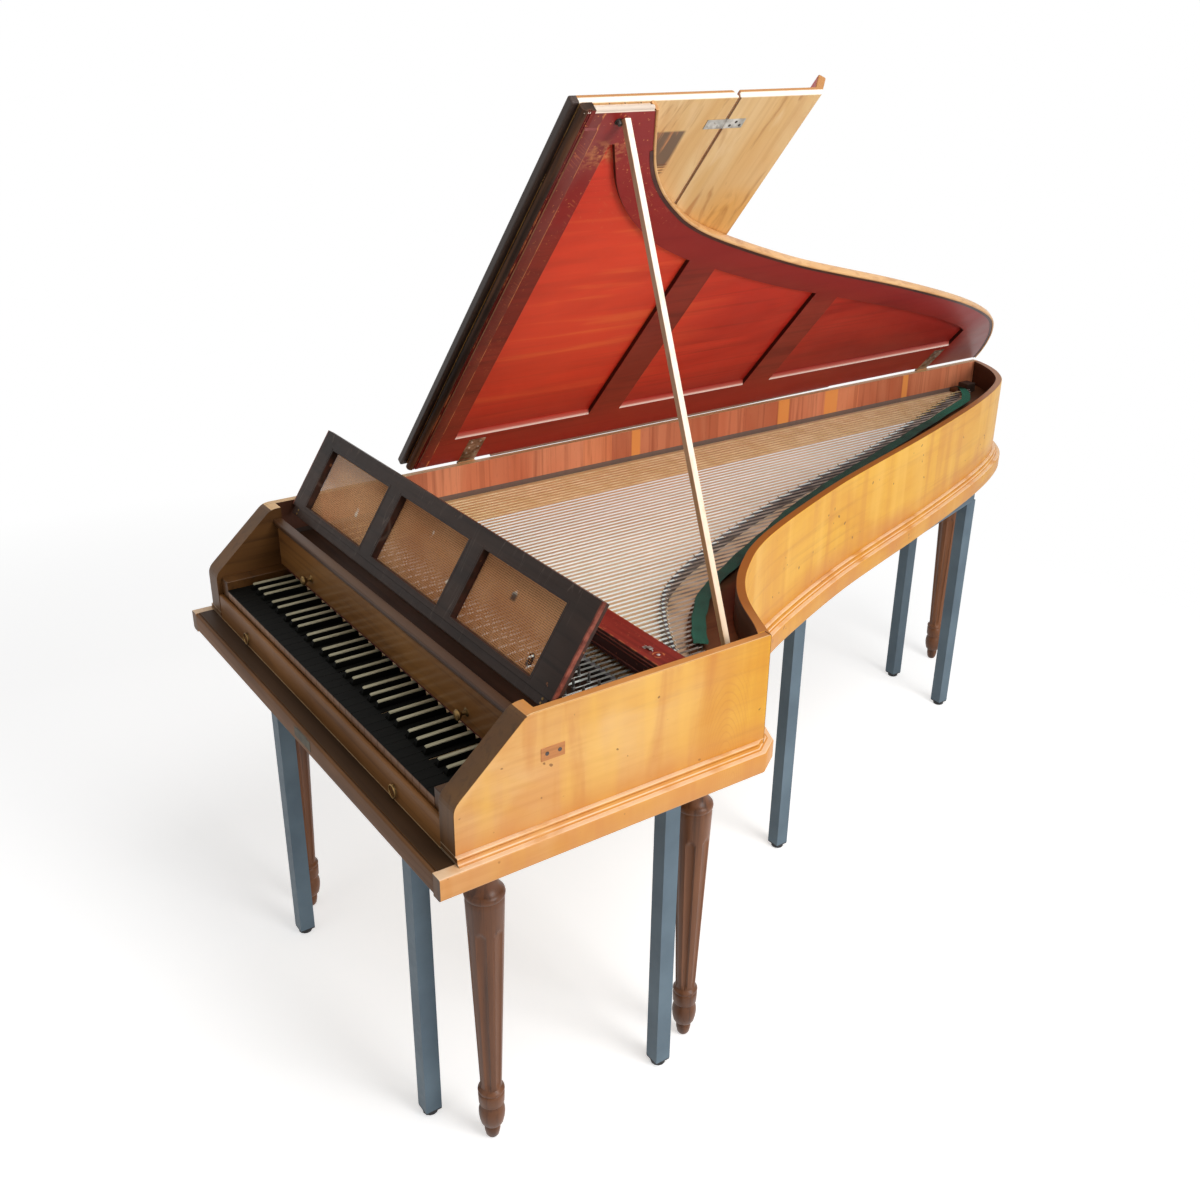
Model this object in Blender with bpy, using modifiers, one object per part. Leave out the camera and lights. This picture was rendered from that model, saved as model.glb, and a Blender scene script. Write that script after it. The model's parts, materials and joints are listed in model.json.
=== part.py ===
"""Fortepiano on a steel stand: the construction at real size, in metres.

Design frame: x is 0 at the middle of the keyboard and grows to the treble, y is 0 at the
fronts of the cheeks and grows to the tail, z is 0 on the floor. An empty shifts everything
so that the world origin lies under the middle of the whole instrument.
"""

import math

import bmesh
import bpy
from mathutils import Matrix, Vector

# General fits
FIT = 0.0003  # clearance between pieces that touch
LAP = 0.0008  # overlap of shapes that one piece is joined from
TURNED_STEPS = 12

# Keyboard
NATURALS = 36
KEYBOARD_HALF = 0.4085
KEY_GAP = 0.0006
KEY_FRONT = 0.0095
HEAD_LENGTH = 0.0385
NATURAL_TOP = 0.734
KEY_THICKNESS = 0.018
SHARP_HEIGHT = 0.011
SHARP_BEVEL = 0.004  # how far a sharp's front leans back
SHARP_BEVEL_FOOT = 0.001
SHARP_WIDTH = 0.0102
SHARP_FRONT = 0.0485
SHARP_END = 0.127
SHARP_LEVER_END = 0.450
SHARP_LEVER_DROP = 0.0015
SHARP_BAR_Y = (0.150, 0.170)
SHARP_BAR_DROP = 0.005
KEY_END = 0.488
KEY_REAR_BAR = 0.018
BALANCE_Y = 0.210
BALANCE_Z = 0.715
GROUPS = 5
LANES = 12
NATURAL_LANES = (0, 2, 4, 6, 7, 9, 11)
SHARP_LANES = (1, 3, 5, 8, 10)
KEY_BLOCK_ROOM = 0.0295  # from the last key to the cheek

# Key frame
FRAME_GAP = 0.0017  # on each side, so that the frame slides out
FRAME_THICKNESS = 0.022
FRAME_FRONT = 0.022
FRAME_BORDER = 0.030
FRONT_RAIL_TOP = 0.700
BALANCE_RAIL_HALF = 0.010
BALANCE_PLAY = 0.001
REAR_RAIL_Y = (0.455, 0.488)

# Action
KAPSEL_SETBACK = 0.013  # of the hammers' axis from the end of the keys
KAPSEL_THICKNESS = 0.0026
KAPSEL_HALF = 0.006
HAMMER_AXIS_Z = 0.745
HAMMER_BAR = 0.008
SHANK_THICKNESS = 0.003
HAMMER_REACH = 0.094
HAMMER_HEAD = 0.008
HAMMER_HEAD_TOP = 0.772
HAMMER_WIDTH = 0.006
ESCAPEMENT_GAP = 0.009
ESCAPEMENT_THICKNESS = 0.021
ESCAPEMENT_TOP = 0.765
ESCAPEMENT_SEAT = 0.002  # how far the key frame's rail stands in front of the escapement rail
DAMPER_Y = (0.376, 0.390)
DAMPER_WIDTH = 0.008
DAMPER_RAIL_Z = (0.830, 0.839)
COVER_Y = (0.360, 0.412)
COVER_DROP = 0.008  # below the rim
COVER_THICKNESS = 0.0085
COVER_LIP_DEPTH = 0.008
COVER_LIP_BOTTOM = 0.8165

# Case: the keyboard, its key blocks and the cheeks give the width
WALL = 0.016
CHEEK_BLOCK = 0.027  # extra thickness of the cheeks beside the keys
CHEEK_BLOCK_END = 0.138
CASE_HALF = KEYBOARD_HALF + KEY_BLOCK_ROOM + CHEEK_BLOCK + WALL
CASE_BOTTOM = 0.625
BOARD_THICKNESS = 0.012
RIM_TOP = 0.863
BELLY_GAP = 0.002
BELLY_RAIL_THICKNESS = 0.018
CHEEK_PAST_BELLY = 0.018
TAIL_Y = 2.144
SLOPE_FOOT_Z = 0.756
SLOPE_TOP_Y = 0.118
SLOPE_ROUNDING = 0.012
SILL_Y = (0.0003, 0.020)
LUG_DEPTH = 0.015

# Curves in the case's plan: shares of the width from the treble side, and of the length
# from the end of the cheek to the tail
BENTSIDE_SHAPE = [
    (0.0904, 0.0246), (0.1642, 0.0523), (0.2443, 0.1020), (0.3264, 0.1814), (0.4543, 0.3703),
    (0.5655, 0.5768), (0.6954, 0.7960), (0.8087, 0.9326), (0.9241, 0.9868),
]  # fmt: skip
BRIDGE_SHAPE = [
    (0.0821, -0.0712), (0.1445, -0.0523), (0.3098, 0.0139), (0.4252, 0.1241), (0.5572, 0.3086),
    (0.6923, 0.5567), (0.9250, 0.9110),
]  # fmt: skip
HITCH_SHAPE = [
    (0.0169, -0.0548), (0.1258, -0.0384), (0.2817, 0.0453), (0.4397, 0.2204), (0.5437, 0.3508),
    (0.7079, 0.6196), (0.8825, 0.8999), (0.9831, 0.9345),
]  # fmt: skip

# Plinth moulding and front shelf
PLINTH_DEPTH = 0.0215
PLINTH_BOTTOM = 0.630
PLINTH_BAND = 0.038
PLINTH_FRONT = 0.036
PLINTH_ROUND = 0.006
PLINTH_CHAMFER = 0.0018
PLINTH_SHOULDER = 0.012
PLINTH_BEAD = [(0.0105, 0.0025), (0.0095, 0.0075), (0.006, 0.0095), (0.0045, 0.0095), (0.0045, 0.012)]
SHELF_EDGE = 0.005  # width of the groove along the shelf's front edge
SHELF_STEP = 0.0025
SHELF_SLANT = 0.001

# Inner structure
BELLY_SHELF_FRONT = 0.425
SOUNDBOARD_TOP = 0.792
SOUNDBOARD_THICKNESS = 0.003
SHELF_THICKNESS = 0.0097
WREST_PLANK_Y = (0.165, 0.345)
WREST_PLANK_Z = (0.765, 0.795)
PIN_SIZE = 0.005
PIN_HEIGHT = 0.034
PIN_PITCH = 0.0045  # between the two pins of a note
PIN_ROW_Y = (0.292, 0.262, 0.240, 0.218)
NUT_Y = (0.327, 0.337)
NUT_PAST_STRINGS = 0.006
STRING_Z = 0.8115
STRING_THICKNESS = 0.001
STRING_PAIR_WIDTH = 0.005
LISTING_Y = (0.3105, 0.323)
RAIL_HEIGHT = 0.0107
CLOTH_WIDTH = 0.012
CLOTH_SETBACK = 0.002
BRIDGE_WIDTH = 0.013

# Key slip, nameboard and key blocks
SLIP_Y = (0.001, 0.009)
SLIP_TOP = 0.716
NAMEBOARD_Y = (0.128, 0.1377)
NAMEBOARD_Z = (0.750, 0.842)
CAP_DEPTH = 0.008
CAP_HEIGHT = 0.017
KNOB_X = KEYBOARD_HALF - 0.1185
KNOB_Z = 0.773
KNOB_PROFILE = [(0.0045, 0.0), (0.0045, 0.008), (0.0085, 0.012), (0.0085, 0.016), (0.004, 0.019)]
PULL_X = KEYBOARD_HALF - 0.1125
RING_RADIUS = 0.0105
RING_WIRE = 0.0015
RING_TOP_Z = 0.694
RING_Y = -0.003
RING_LUG = 0.0022

# Music desk, modelled lying flat and turned up on its pivots
DESK_GAP = 0.004
DESK_PIVOT = (0.176, 0.8595)
DESK_TILT = 57.2
DESK_HEIGHT = 0.157
DESK_THICKNESS = 0.013
DESK_FOOT = 0.005
DESK_TOP_OVER_PIVOT = 0.0035
DESK_PIN = 0.002
DESK_STILES = (0.052, 0.050, 0.048, 0.068)  # bass to treble
DESK_WINDOW_S = (0.010, 0.128)
DESK_CLOTH = 0.0012
DESK_CLOTH_SETBACK = (0.020, 0.002, 0.010)  # at the sides, the foot and the top

# Lid and flaps, in the lid's own frame: u away from the hinge, w out of the lid
LID_AXIS = (-CASE_HALF - 0.005, RIM_TOP + 0.004)
LID_OPEN = 48.95
LID_EDGE_U = 0.005
LID_TREBLE_U = CASE_HALF - LID_AXIS[0]
LID_FRONT = 0.426
LID_INNER_W = -0.0035
LID_THICKNESS = 0.016
LID_OVERHANG = 0.006
LID_PANEL_DEPTH = 0.004
LID_BORDER_SPINE = 0.096
LID_BORDER_BENTSIDE = 0.070
LID_BORDER_TAIL = 0.184
LID_PANELS_Y = ((0.505, 0.829), (0.909, 1.260), (1.340, TAIL_Y - LID_BORDER_TAIL))
FLAP_AXIS_Y = 0.4205
FLAP_ROOT_BACK = 0.005
FLAP_THICKNESS = 0.0155
FLAP_JOINT_Y = 0.7286
FALL_LENGTH = 0.1726
FALL_ANGLE = 42.0
MITRE_ANGLE = 21.4
LIP_LENGTH = 0.045
LIP_THICKNESS = 0.0140
HINGE_YS = (0.563, TAIL_Y - 0.204)
HINGE_HALF = 0.020
HINGE_BARREL = 0.003
HINGE_BED_GAP = 0.0005
HINGE_LEAF_END = 0.081
HINGE_LEAF_W = (-0.0030, -0.0018)
FLAP_PLATE_U = (0.902, 0.921)
FLAP_PLATE_HALF = 0.0450
FLAP_PLATE_THICKNESS = 0.0012
FLAP_BARREL = 0.0016

# Prop stick
PROP_SIZE = 0.011
PROP_INSET = 0.028  # from the cheek's inner face
PROP_Y = 0.507
PROP_TOP_INSET = 0.015
PROP_BLOCK = (0.038, 0.022, 0.020)  # out of the cheek, along it and high
PROP_BLOCK_DROP = 0.037

# Stand and legs: distances from the case's sides, fronts and tail
TUBE = 0.030
PAD_HEIGHT = 0.011
PAD_FLANGE = 0.003
PAD_RADIUS = 0.0135
STAND_RING = ("front_bass", "front_middle", "bentside", "tail_treble", "tail_bass")
FLUTED_LEG = [
    (0.0215, CASE_BOTTOM - FIT), (0.0205, 0.570), (0.0215, 0.532), (0.0255, 0.5165), (0.0325, 0.5085),
    (0.0325, 0.5055), (0.0312, 0.5020), (0.0178, 0.112), (0.0222, 0.1045), (0.0218, 0.077),
    (0.0190, 0.070), (0.0221, 0.054), (0.0170, 0.028), (0.0138, 0.0235), (0.0110, 0.005), (0.007, 0.0),
]  # fmt: skip

# Values worked out from those above
KEY_BOTTOM = NATURAL_TOP - KEY_THICKNESS
SHARP_TOP = NATURAL_TOP + SHARP_HEIGHT
HAMMER_AXIS_Y = KEY_END - KAPSEL_SETBACK
ESCAPEMENT_Y = (KEY_END + ESCAPEMENT_GAP, KEY_END + ESCAPEMENT_GAP + ESCAPEMENT_THICKNESS)
BELLY_RAIL_Y = (ESCAPEMENT_Y[1] + BELLY_GAP, ESCAPEMENT_Y[1] + BELLY_GAP + BELLY_RAIL_THICKNESS)
CHEEK_LENGTH = BELLY_RAIL_Y[1] + CHEEK_PAST_BELLY
INNER = CASE_HALF - WALL
FREE = INNER - FIT
FRONT_FREE = INNER - CHEEK_BLOCK - FIT
KEY_FRAME_HALF = FRONT_FREE - FRAME_GAP
DESK_HALF = INNER - DESK_GAP
BOARD_TOP = CASE_BOTTOM + BOARD_THICKNESS
WALL_BOTTOM = BOARD_TOP + FIT
PLINTH_BAND_TOP = PLINTH_BOTTOM + PLINTH_BAND
NATURAL_WIDTH = 2 * KEYBOARD_HALF / NATURALS
OCTAVE = 7 * NATURAL_WIDTH
LANE = OCTAVE / LANES
NOTES = GROUPS * LANES + 1
LID_FRAME = Matrix.Translation((LID_AXIS[0], 0, LID_AXIS[1])) @ Matrix.Rotation(
    -math.radians(LID_OPEN), 4, "Y"
)
FLAP_AXIS_W = LID_INNER_W + LID_THICKNESS + FIT / 3
FLAP_W = FLAP_AXIS_W + FIT / 3
STAND_FEET = {
    "front_bass": (0.187 - CASE_HALF, 0.047),
    "front_middle": (CASE_HALF - 0.212, 0.039),
    "cheek": (CASE_HALF - 0.083, CHEEK_LENGTH - 0.123),
    "bentside": (CASE_HALF - 0.453, CHEEK_LENGTH + 0.496),
    "tail_treble": (0.265 - CASE_HALF, TAIL_Y - 0.283),
    "tail_bass": (0.081 - CASE_HALF, TAIL_Y - 0.268),
}
LEG_FEET = {
    "front_bass": (0.116 - CASE_HALF, 0.090),
    "front_treble": (CASE_HALF - 0.107, 0.102),
    "cheek": (CASE_HALF - 0.114, CHEEK_LENGTH - 0.041),
    "tail": (0.068 - CASE_HALF, TAIL_Y - 0.093),
}

WOOD_HONEY = (0.60, 0.33, 0.12, 0.45, 0.0)
WOOD_FRONT = (0.22, 0.10, 0.04, 0.40, 0.0)
WOOD_DARK = (0.05, 0.022, 0.015, 0.40, 0.0)
WOOD_RED = (0.20, 0.045, 0.025, 0.40, 0.0)
WOOD_PALE = (0.55, 0.40, 0.22, 0.60, 0.0)
SPRUCE = (0.62, 0.43, 0.22, 0.50, 0.0)
WALNUT = (0.25, 0.12, 0.06, 0.45, 0.0)
EBONY = (0.012, 0.010, 0.010, 0.35, 0.0)
BONE = (0.80, 0.74, 0.62, 0.40, 0.0)
STEEL_PAINT = (0.14, 0.19, 0.22, 0.45, 0.0)
RUBBER = (0.015, 0.015, 0.015, 0.80, 0.0)
BRASS = (0.75, 0.50, 0.20, 0.30, 1.0)
IRON = (0.35, 0.34, 0.33, 0.35, 1.0)
CLOTH_GREEN = (0.05, 0.20, 0.12, 0.90, 0.0)
CLOTH_CANE = (0.45, 0.40, 0.30, 0.85, 0.0)


def smooth(points, steps):
    """Points along a Catmull-Rom curve through the given points, both ends kept."""
    first, last = points[0], points[-1]
    ends = [first, *points, last]
    result = []
    for a, b, c, d in zip(ends, ends[1:], ends[2:], ends[3:]):
        for step in range(steps):
            t = step / steps
            result.append(
                tuple(
                    0.5 * (2 * q + (r - p) * t + (2 * p - 5 * q + 4 * r - s) * t * t
                           + (3 * q - p - 3 * r + s) * t**3)
                    for p, q, r, s in zip(a, b, c, d)
                )
            )  # fmt: skip
    return [*result, last]


def offset(path, distance):
    """The path moved to its right-hand side, with mitred corners."""
    moved = []
    for index, point in enumerate(path):
        here = Vector(point)
        normals = []
        for other, sign in ((index - 1, 1), (index + 1, -1)):
            if 0 <= other < len(path):
                along = (here - Vector(path[other])) * sign
                normals.append(Vector((along.y, -along.x)).normalized())
        middle = sum(normals, Vector((0, 0))).normalized()
        moved.append(tuple(here + middle * (distance / middle.dot(normals[0]))))
    return moved


def clamp_x(path, limit):
    return [(min(max(x, -limit), limit), y) for x, y in path]


def x_at(path, y):
    """x where a path that runs towards the tail crosses y."""
    for (x0, y0), (x1, y1) in zip(path, path[1:]):
        if y0 <= y <= y1:
            return x0 + (x1 - x0) * (y - y0) / (y1 - y0)
    return path[-1][0]


def y_at(path, x):
    """y where a path that runs towards the bass crosses x."""
    for (x0, y0), (x1, y1) in zip(path, path[1:]):
        if x1 <= x <= x0:
            return y0 + (y1 - y0) * (x0 - x) / (x0 - x1)
    return path[-1][1]


def distinct(points):
    """The outline's corners, without points that coincide with the next or lie on a straight side."""
    kept = [p for p, q in zip(points, points[1:] + points[:1]) if math.dist(p, q) > 1e-5]
    sides = zip([kept[-1], *kept], kept, [*kept[1:], kept[0]])
    return [q for p, q, r in sides if abs(math.dist(p, q) + math.dist(q, r) - math.dist(p, r)) > 1e-9]


AXES = {
    "Z": Matrix.Identity(4),
    "X": Matrix(((0, 0, 1, 0), (1, 0, 0, 0), (0, 1, 0, 0), (0, 0, 0, 1))),
    "Y": Matrix(((1, 0, 0, 0), (0, 0, -1, 0), (0, 1, 0, 0), (0, 0, 0, 1))),
}


def rounded(before, corner, after, reach, steps=4):
    """A corner as a curve that leaves its two sides at the given reach from it."""
    middle = Vector(corner)
    start = middle + (Vector(before) - middle).normalized() * reach
    end = middle + (Vector(after) - middle).normalized() * reach
    shares = [step / steps for step in range(steps + 1)]
    return [tuple(start * (1 - t) ** 2 + middle * 2 * t * (1 - t) + end * t * t) for t in shares]


def on_plan(shape):
    """Points of the case's plan from shares of its width and of its length past the cheek."""
    length = TAIL_Y - CHEEK_LENGTH
    return [(CASE_HALF * (1 - 2 * across), CHEEK_LENGTH + along * length) for across, along in shape]


def rectangle(x, y):
    return [(x[0], y[0]), (x[1], y[0]), (x[1], y[1]), (x[0], y[1])]


def prism(outlines, axis, low, high):
    """A mesh of flat outlines pushed along an axis.

    The outlines lie in (x, y) for Z, in (y, z) for X and in (x, z) for Y, and an outline
    inside another one is a hole.
    """
    curve = bpy.data.curves.new("outline", "CURVE")
    curve.dimensions = "2D"
    curve.fill_mode = "BOTH"
    curve.extrude = (high - low) / 2
    for outline in map(distinct, outlines):
        spline = curve.splines.new("POLY")
        spline.points.add(len(outline) - 1)
        for point, place in zip(spline.points, outline):
            point.co = (*place, 0, 1)
        spline.use_cyclic_u = True
    helper = bpy.data.objects.new("outline", curve)
    bpy.context.scene.collection.objects.link(helper)
    bpy.context.view_layer.update()
    evaluated = helper.evaluated_get(bpy.context.evaluated_depsgraph_get())
    mesh = bpy.data.meshes.new_from_object(evaluated)
    bpy.data.objects.remove(helper)
    bpy.data.curves.remove(curve)
    middle = (low + high) / 2 * (-1 if axis == "Y" else 1)
    mesh.transform(AXES[axis] @ Matrix.Translation((0, 0, middle)))
    weld = bmesh.new()
    weld.from_mesh(mesh)
    bmesh.ops.remove_doubles(weld, verts=weld.verts, dist=1e-6)
    if len(outlines) == 1:
        bmesh.ops.dissolve_limit(weld, angle_limit=math.radians(0.1), verts=[], edges=weld.edges)
    bmesh.ops.recalc_face_normals(weld, faces=weld.faces)
    weld.to_mesh(mesh)
    weld.free()
    return mesh


def box(x, y, z):
    """A mesh box between the two values given for each axis."""
    shape = bmesh.new()
    size = Matrix.Diagonal((x[1] - x[0], y[1] - y[0], z[1] - z[0], 1))
    middle = Matrix.Translation([sum(side) / 2 for side in (x, y, z)])
    bmesh.ops.create_cube(shape, size=1, matrix=middle @ size)
    mesh = bpy.data.meshes.new("box")
    shape.to_mesh(mesh)
    shape.free()
    return mesh


def rod(start, end, radius, sides=TURNED_STEPS):
    """A mesh cylinder between two points."""
    shape = bmesh.new()
    start, end = Vector(start), Vector(end)
    turn = (end - start).to_track_quat("Z", "Y").to_matrix().to_4x4()
    bmesh.ops.create_cone(
        shape, cap_ends=True, segments=sides, radius1=radius, radius2=radius,
        depth=(end - start).length, matrix=Matrix.Translation((start + end) / 2) @ turn,
    )  # fmt: skip
    mesh = bpy.data.meshes.new("rod")
    shape.to_mesh(mesh)
    shape.free()
    return mesh


def merged(meshes):
    """One mesh of several that don't touch."""
    shape = bmesh.new()
    for mesh in meshes:
        shape.from_mesh(mesh)
    result = bpy.data.meshes.new("merged")
    shape.to_mesh(result)
    shape.free()
    return result


def sweep(path, profile):
    """A moulding: a closed profile of (outwards, z) carried along a path with mitred corners."""
    rings = [offset(path, out) for out, _ in profile]
    shape = bmesh.new()
    made = [
        [shape.verts.new((*rings[p][i], profile[p][1])) for p in range(len(profile))]
        for i in range(len(path))
    ]
    count = len(profile)
    for here, there in zip(made, made[1:]):
        for p in range(count):
            q = (p + 1) % count
            shape.faces.new((here[p], here[q], there[q], there[p]))
    shape.faces.new(made[0])
    shape.faces.new(made[-1])
    bmesh.ops.recalc_face_normals(shape, faces=shape.faces)
    mesh = bpy.data.meshes.new("moulding")
    shape.to_mesh(mesh)
    shape.free()
    return mesh


def clear_scene():
    for thing in list(bpy.data.objects):
        bpy.data.objects.remove(thing)


def new_collection(name):
    collection = bpy.data.collections.new(name)
    bpy.context.scene.collection.children.link(collection)
    return collection


def new_empty(name, parent, matrix):
    empty = bpy.data.objects.new(name, None)
    PARTS.objects.link(empty)
    empty.parent = parent
    empty.matrix_basis = matrix
    return empty


def material(name, look):
    made = bpy.data.materials.new(name)
    made.use_nodes = True
    shader = made.node_tree.nodes["Principled BSDF"]
    shader.inputs["Base Color"].default_value = (*look[:3], 1)
    shader.inputs["Roughness"].default_value = look[3]
    shader.inputs["Metallic"].default_value = look[4]
    return made


def link(name, mesh, parent, origin, turn, collection):
    mesh.transform(Matrix.Translation(-Vector(origin)))
    thing = bpy.data.objects.new(name, mesh)
    collection.objects.link(thing)
    thing.parent = parent
    thing.location = origin
    thing.rotation_euler = turn
    return thing


def piece(name, mesh, look, parent=None, origin=(0, 0, 0), turn=(0, 0, 0), joined=(), cut=()):
    """A named sub-part, with the shapes joined to it and cut from it as Booleans."""
    parent = parent or ROOT
    thing = link(name, mesh, parent, origin, turn, PARTS)
    mesh.name = name
    mesh.materials.clear()
    mesh.materials.append(material(name, look))
    for operation, shapes in (("UNION", joined), ("DIFFERENCE", cut)):
        for number, shape in enumerate(shapes):
            helper = link(f"{name}_{operation.lower()}_{number}", shape, parent, origin, turn, CUTTERS)
            helper.hide_render = True
            helper.display_type = "WIRE"
            boolean = thing.modifiers.new(helper.name, "BOOLEAN")
            boolean.operation = operation
            boolean.object = helper
    return thing


def turned(name, profile, look, matrix, parent=None, steps=TURNED_STEPS):
    """A turned sub-part. The profile is (radius, height) from top to bottom."""
    mesh = bpy.data.meshes.new(name)
    points = [(0, 0, profile[0][1]), *((r, 0, z) for r, z in profile), (0, 0, profile[-1][1])]
    mesh.from_pydata(points, [(i, i + 1) for i in range(len(points) - 1)], [])
    thing = bpy.data.objects.new(name, mesh)
    PARTS.objects.link(thing)
    thing.parent = parent or ROOT
    thing.matrix_basis = matrix
    mesh.materials.append(material(name, look))
    screw = thing.modifiers.new("turn", "SCREW")
    screw.steps = screw.render_steps = steps
    screw.use_merge_vertices = True
    screw.merge_threshold = 0.0001
    screw.use_smooth_shade = True
    return thing


def case_path():
    """The case's plan from the end of the cheek round the bentside to the tail of the spine."""
    ends = (CASE_HALF, CHEEK_LENGTH + FIT), (-CASE_HALF, TAIL_Y)
    return smooth([ends[0], *on_plan(BENTSIDE_SHAPE), ends[1]], 2)


def inside_path(gap):
    """The plan of the bentside's inner face, a gap inside it."""
    return clamp_x(offset(case_path(), -WALL - gap), INNER - gap)


def side_profile(length):
    """A side's outline: upright in front, then sloping back to the rim, with both corners rounded."""
    foot, top = (0, SLOPE_FOOT_Z), (SLOPE_TOP_Y, RIM_TOP)
    low, back = (0, WALL_BOTTOM), (length, RIM_TOP)
    slope = [*rounded(back, top, foot, SLOPE_ROUNDING), *rounded(top, foot, low, SLOPE_ROUNDING)]
    return [low, (length, WALL_BOTTOM), back, *slope]


def cheek_block(side):
    inner = INNER - CHEEK_BLOCK
    ends = sorted((side * inner, side * (INNER + LAP)))
    return prism([side_profile(CHEEK_BLOCK_END)], "X", *ends)


def build_case():
    path = case_path()
    plan = [(-CASE_HALF, 0), (CASE_HALF, 0), *path]
    sill = box((-FRONT_FREE, FRONT_FREE), SILL_Y, (BOARD_TOP - LAP, PLINTH_BAND_TOP - FIT))
    piece("bottom_board", prism([plan], "Z", CASE_BOTTOM, BOARD_TOP), WOOD_PALE, joined=[sill])
    lugs = [
        box(
            (LID_AXIS[0] - HINGE_BARREL, LAP - CASE_HALF),
            (y - HINGE_HALF, y + HINGE_HALF),
            (RIM_TOP - LUG_DEPTH, LID_AXIS[1] - HINGE_BARREL - FIT),
        )
        for y in HINGE_YS
    ]
    spine = prism([side_profile(y_at(path, -INNER))], "X", -CASE_HALF, -INNER)
    piece("spine", spine, WOOD_HONEY, joined=[cheek_block(-1), *lugs])
    out, along, high = PROP_BLOCK
    rest_top = RIM_TOP - PROP_BLOCK_DROP
    rest = box(
        (INNER - out, INNER + LAP), (PROP_Y - along / 2, PROP_Y + along / 2), (rest_top - high, rest_top)
    )
    cheek = prism([side_profile(CHEEK_LENGTH)], "X", INNER, CASE_HALF)
    piece("cheek", cheek, WOOD_HONEY, joined=[cheek_block(1), rest])
    outside = [*(place for place in path if place[0] > -FREE), (-FREE, y_at(path, -FREE))]
    inside = clamp_x(offset(path, -WALL), FREE)
    wall = [*outside, *reversed(inside), (FREE, CHEEK_LENGTH + FIT)]
    piece("bentside", prism([wall], "Z", WALL_BOTTOM, RIM_TOP), WOOD_HONEY)
    sides = [(CASE_HALF, -2 * FIT), *path, (-CASE_HALF, -2 * FIT)]
    outer = PLINTH_DEPTH
    chamfer = PLINTH_BOTTOM + PLINTH_CHAMFER
    profile = [
        (FIT, PLINTH_BOTTOM), (outer - PLINTH_ROUND, PLINTH_BOTTOM), (outer - PLINTH_CHAMFER, chamfer),
        (outer, PLINTH_BOTTOM + PLINTH_ROUND), (outer, PLINTH_BAND_TOP), (PLINTH_SHOULDER, PLINTH_BAND_TOP),
        *((out, PLINTH_BAND_TOP + rise) for out, rise in PLINTH_BEAD),
        (FIT, PLINTH_BAND_TOP + PLINTH_BEAD[-1][1]),
    ]  # fmt: skip
    step = PLINTH_BAND_TOP - SHELF_STEP
    bar = [
        (-FIT, PLINTH_BOTTOM), (-FIT, PLINTH_BAND_TOP),
        (SHELF_EDGE + SHELF_SLANT - PLINTH_FRONT, PLINTH_BAND_TOP), (SHELF_EDGE - PLINTH_FRONT, step),
        (-PLINTH_FRONT, step), (-PLINTH_FRONT, PLINTH_BOTTOM + PLINTH_ROUND),
        (PLINTH_CHAMFER - PLINTH_FRONT, chamfer), (PLINTH_ROUND - PLINTH_FRONT, PLINTH_BOTTOM),
    ]  # fmt: skip
    reach = CASE_HALF + PLINTH_DEPTH
    front = prism([bar], "X", -reach, reach)
    piece("plinth_moulding", front, WOOD_HONEY, joined=[sweep(sides, profile)])


def build_inside():
    shelf_top = SOUNDBOARD_TOP - SOUNDBOARD_THICKNESS - FIT
    shelf_low = shelf_top - SHELF_THICKNESS
    front, back = BELLY_RAIL_Y
    rail = [
        (front, WALL_BOTTOM), (back, WALL_BOTTOM), (back, shelf_top), (BELLY_SHELF_FRONT, shelf_top),
        (BELLY_SHELF_FRONT, shelf_low), (front, shelf_low),
    ]  # fmt: skip
    piece("belly_rail", prism([rail], "X", -FREE, FREE), WOOD_PALE)
    inner = inside_path(FIT)
    board = [(-FREE, BELLY_SHELF_FRONT), (FREE, BELLY_SHELF_FRONT), *inner]
    low = SOUNDBOARD_TOP - SOUNDBOARD_THICKNESS
    piece("soundboard", prism([board], "Z", low, SOUNDBOARD_TOP), SPRUCE)
    hitch = smooth(on_plan(HITCH_SHAPE), 2)
    rail_low = SOUNDBOARD_TOP + FIT
    rail_top = rail_low + RAIL_HEIGHT
    ring = [*inner, *reversed(clamp_x(hitch, FREE))]
    piece("hitchpin_rail", prism([ring], "Z", rail_low, rail_top), WOOD_DARK)
    edge = smooth(on_plan(HITCH_SHAPE[1:-1]), 2)
    strip = [*offset(edge, CLOTH_SETBACK), *reversed(offset(edge, CLOTH_SETBACK + CLOTH_WIDTH))]
    cloth_z = rail_top + FIT, STRING_Z - FIT
    piece("listing_cloth", prism([strip], "Z", *cloth_z), CLOTH_GREEN)
    bridge_path = smooth(on_plan(BRIDGE_SHAPE), 2)
    half = BRIDGE_WIDTH / 2
    bridge = [*offset(bridge_path, -half), *reversed(offset(bridge_path, half))]
    piece("bridge", prism([bridge], "Z", rail_low, STRING_Z - FIT), WOOD_DARK)


def string_x(note):
    return -KEYBOARD_HALF + (note + 0.5) * LANE


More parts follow.
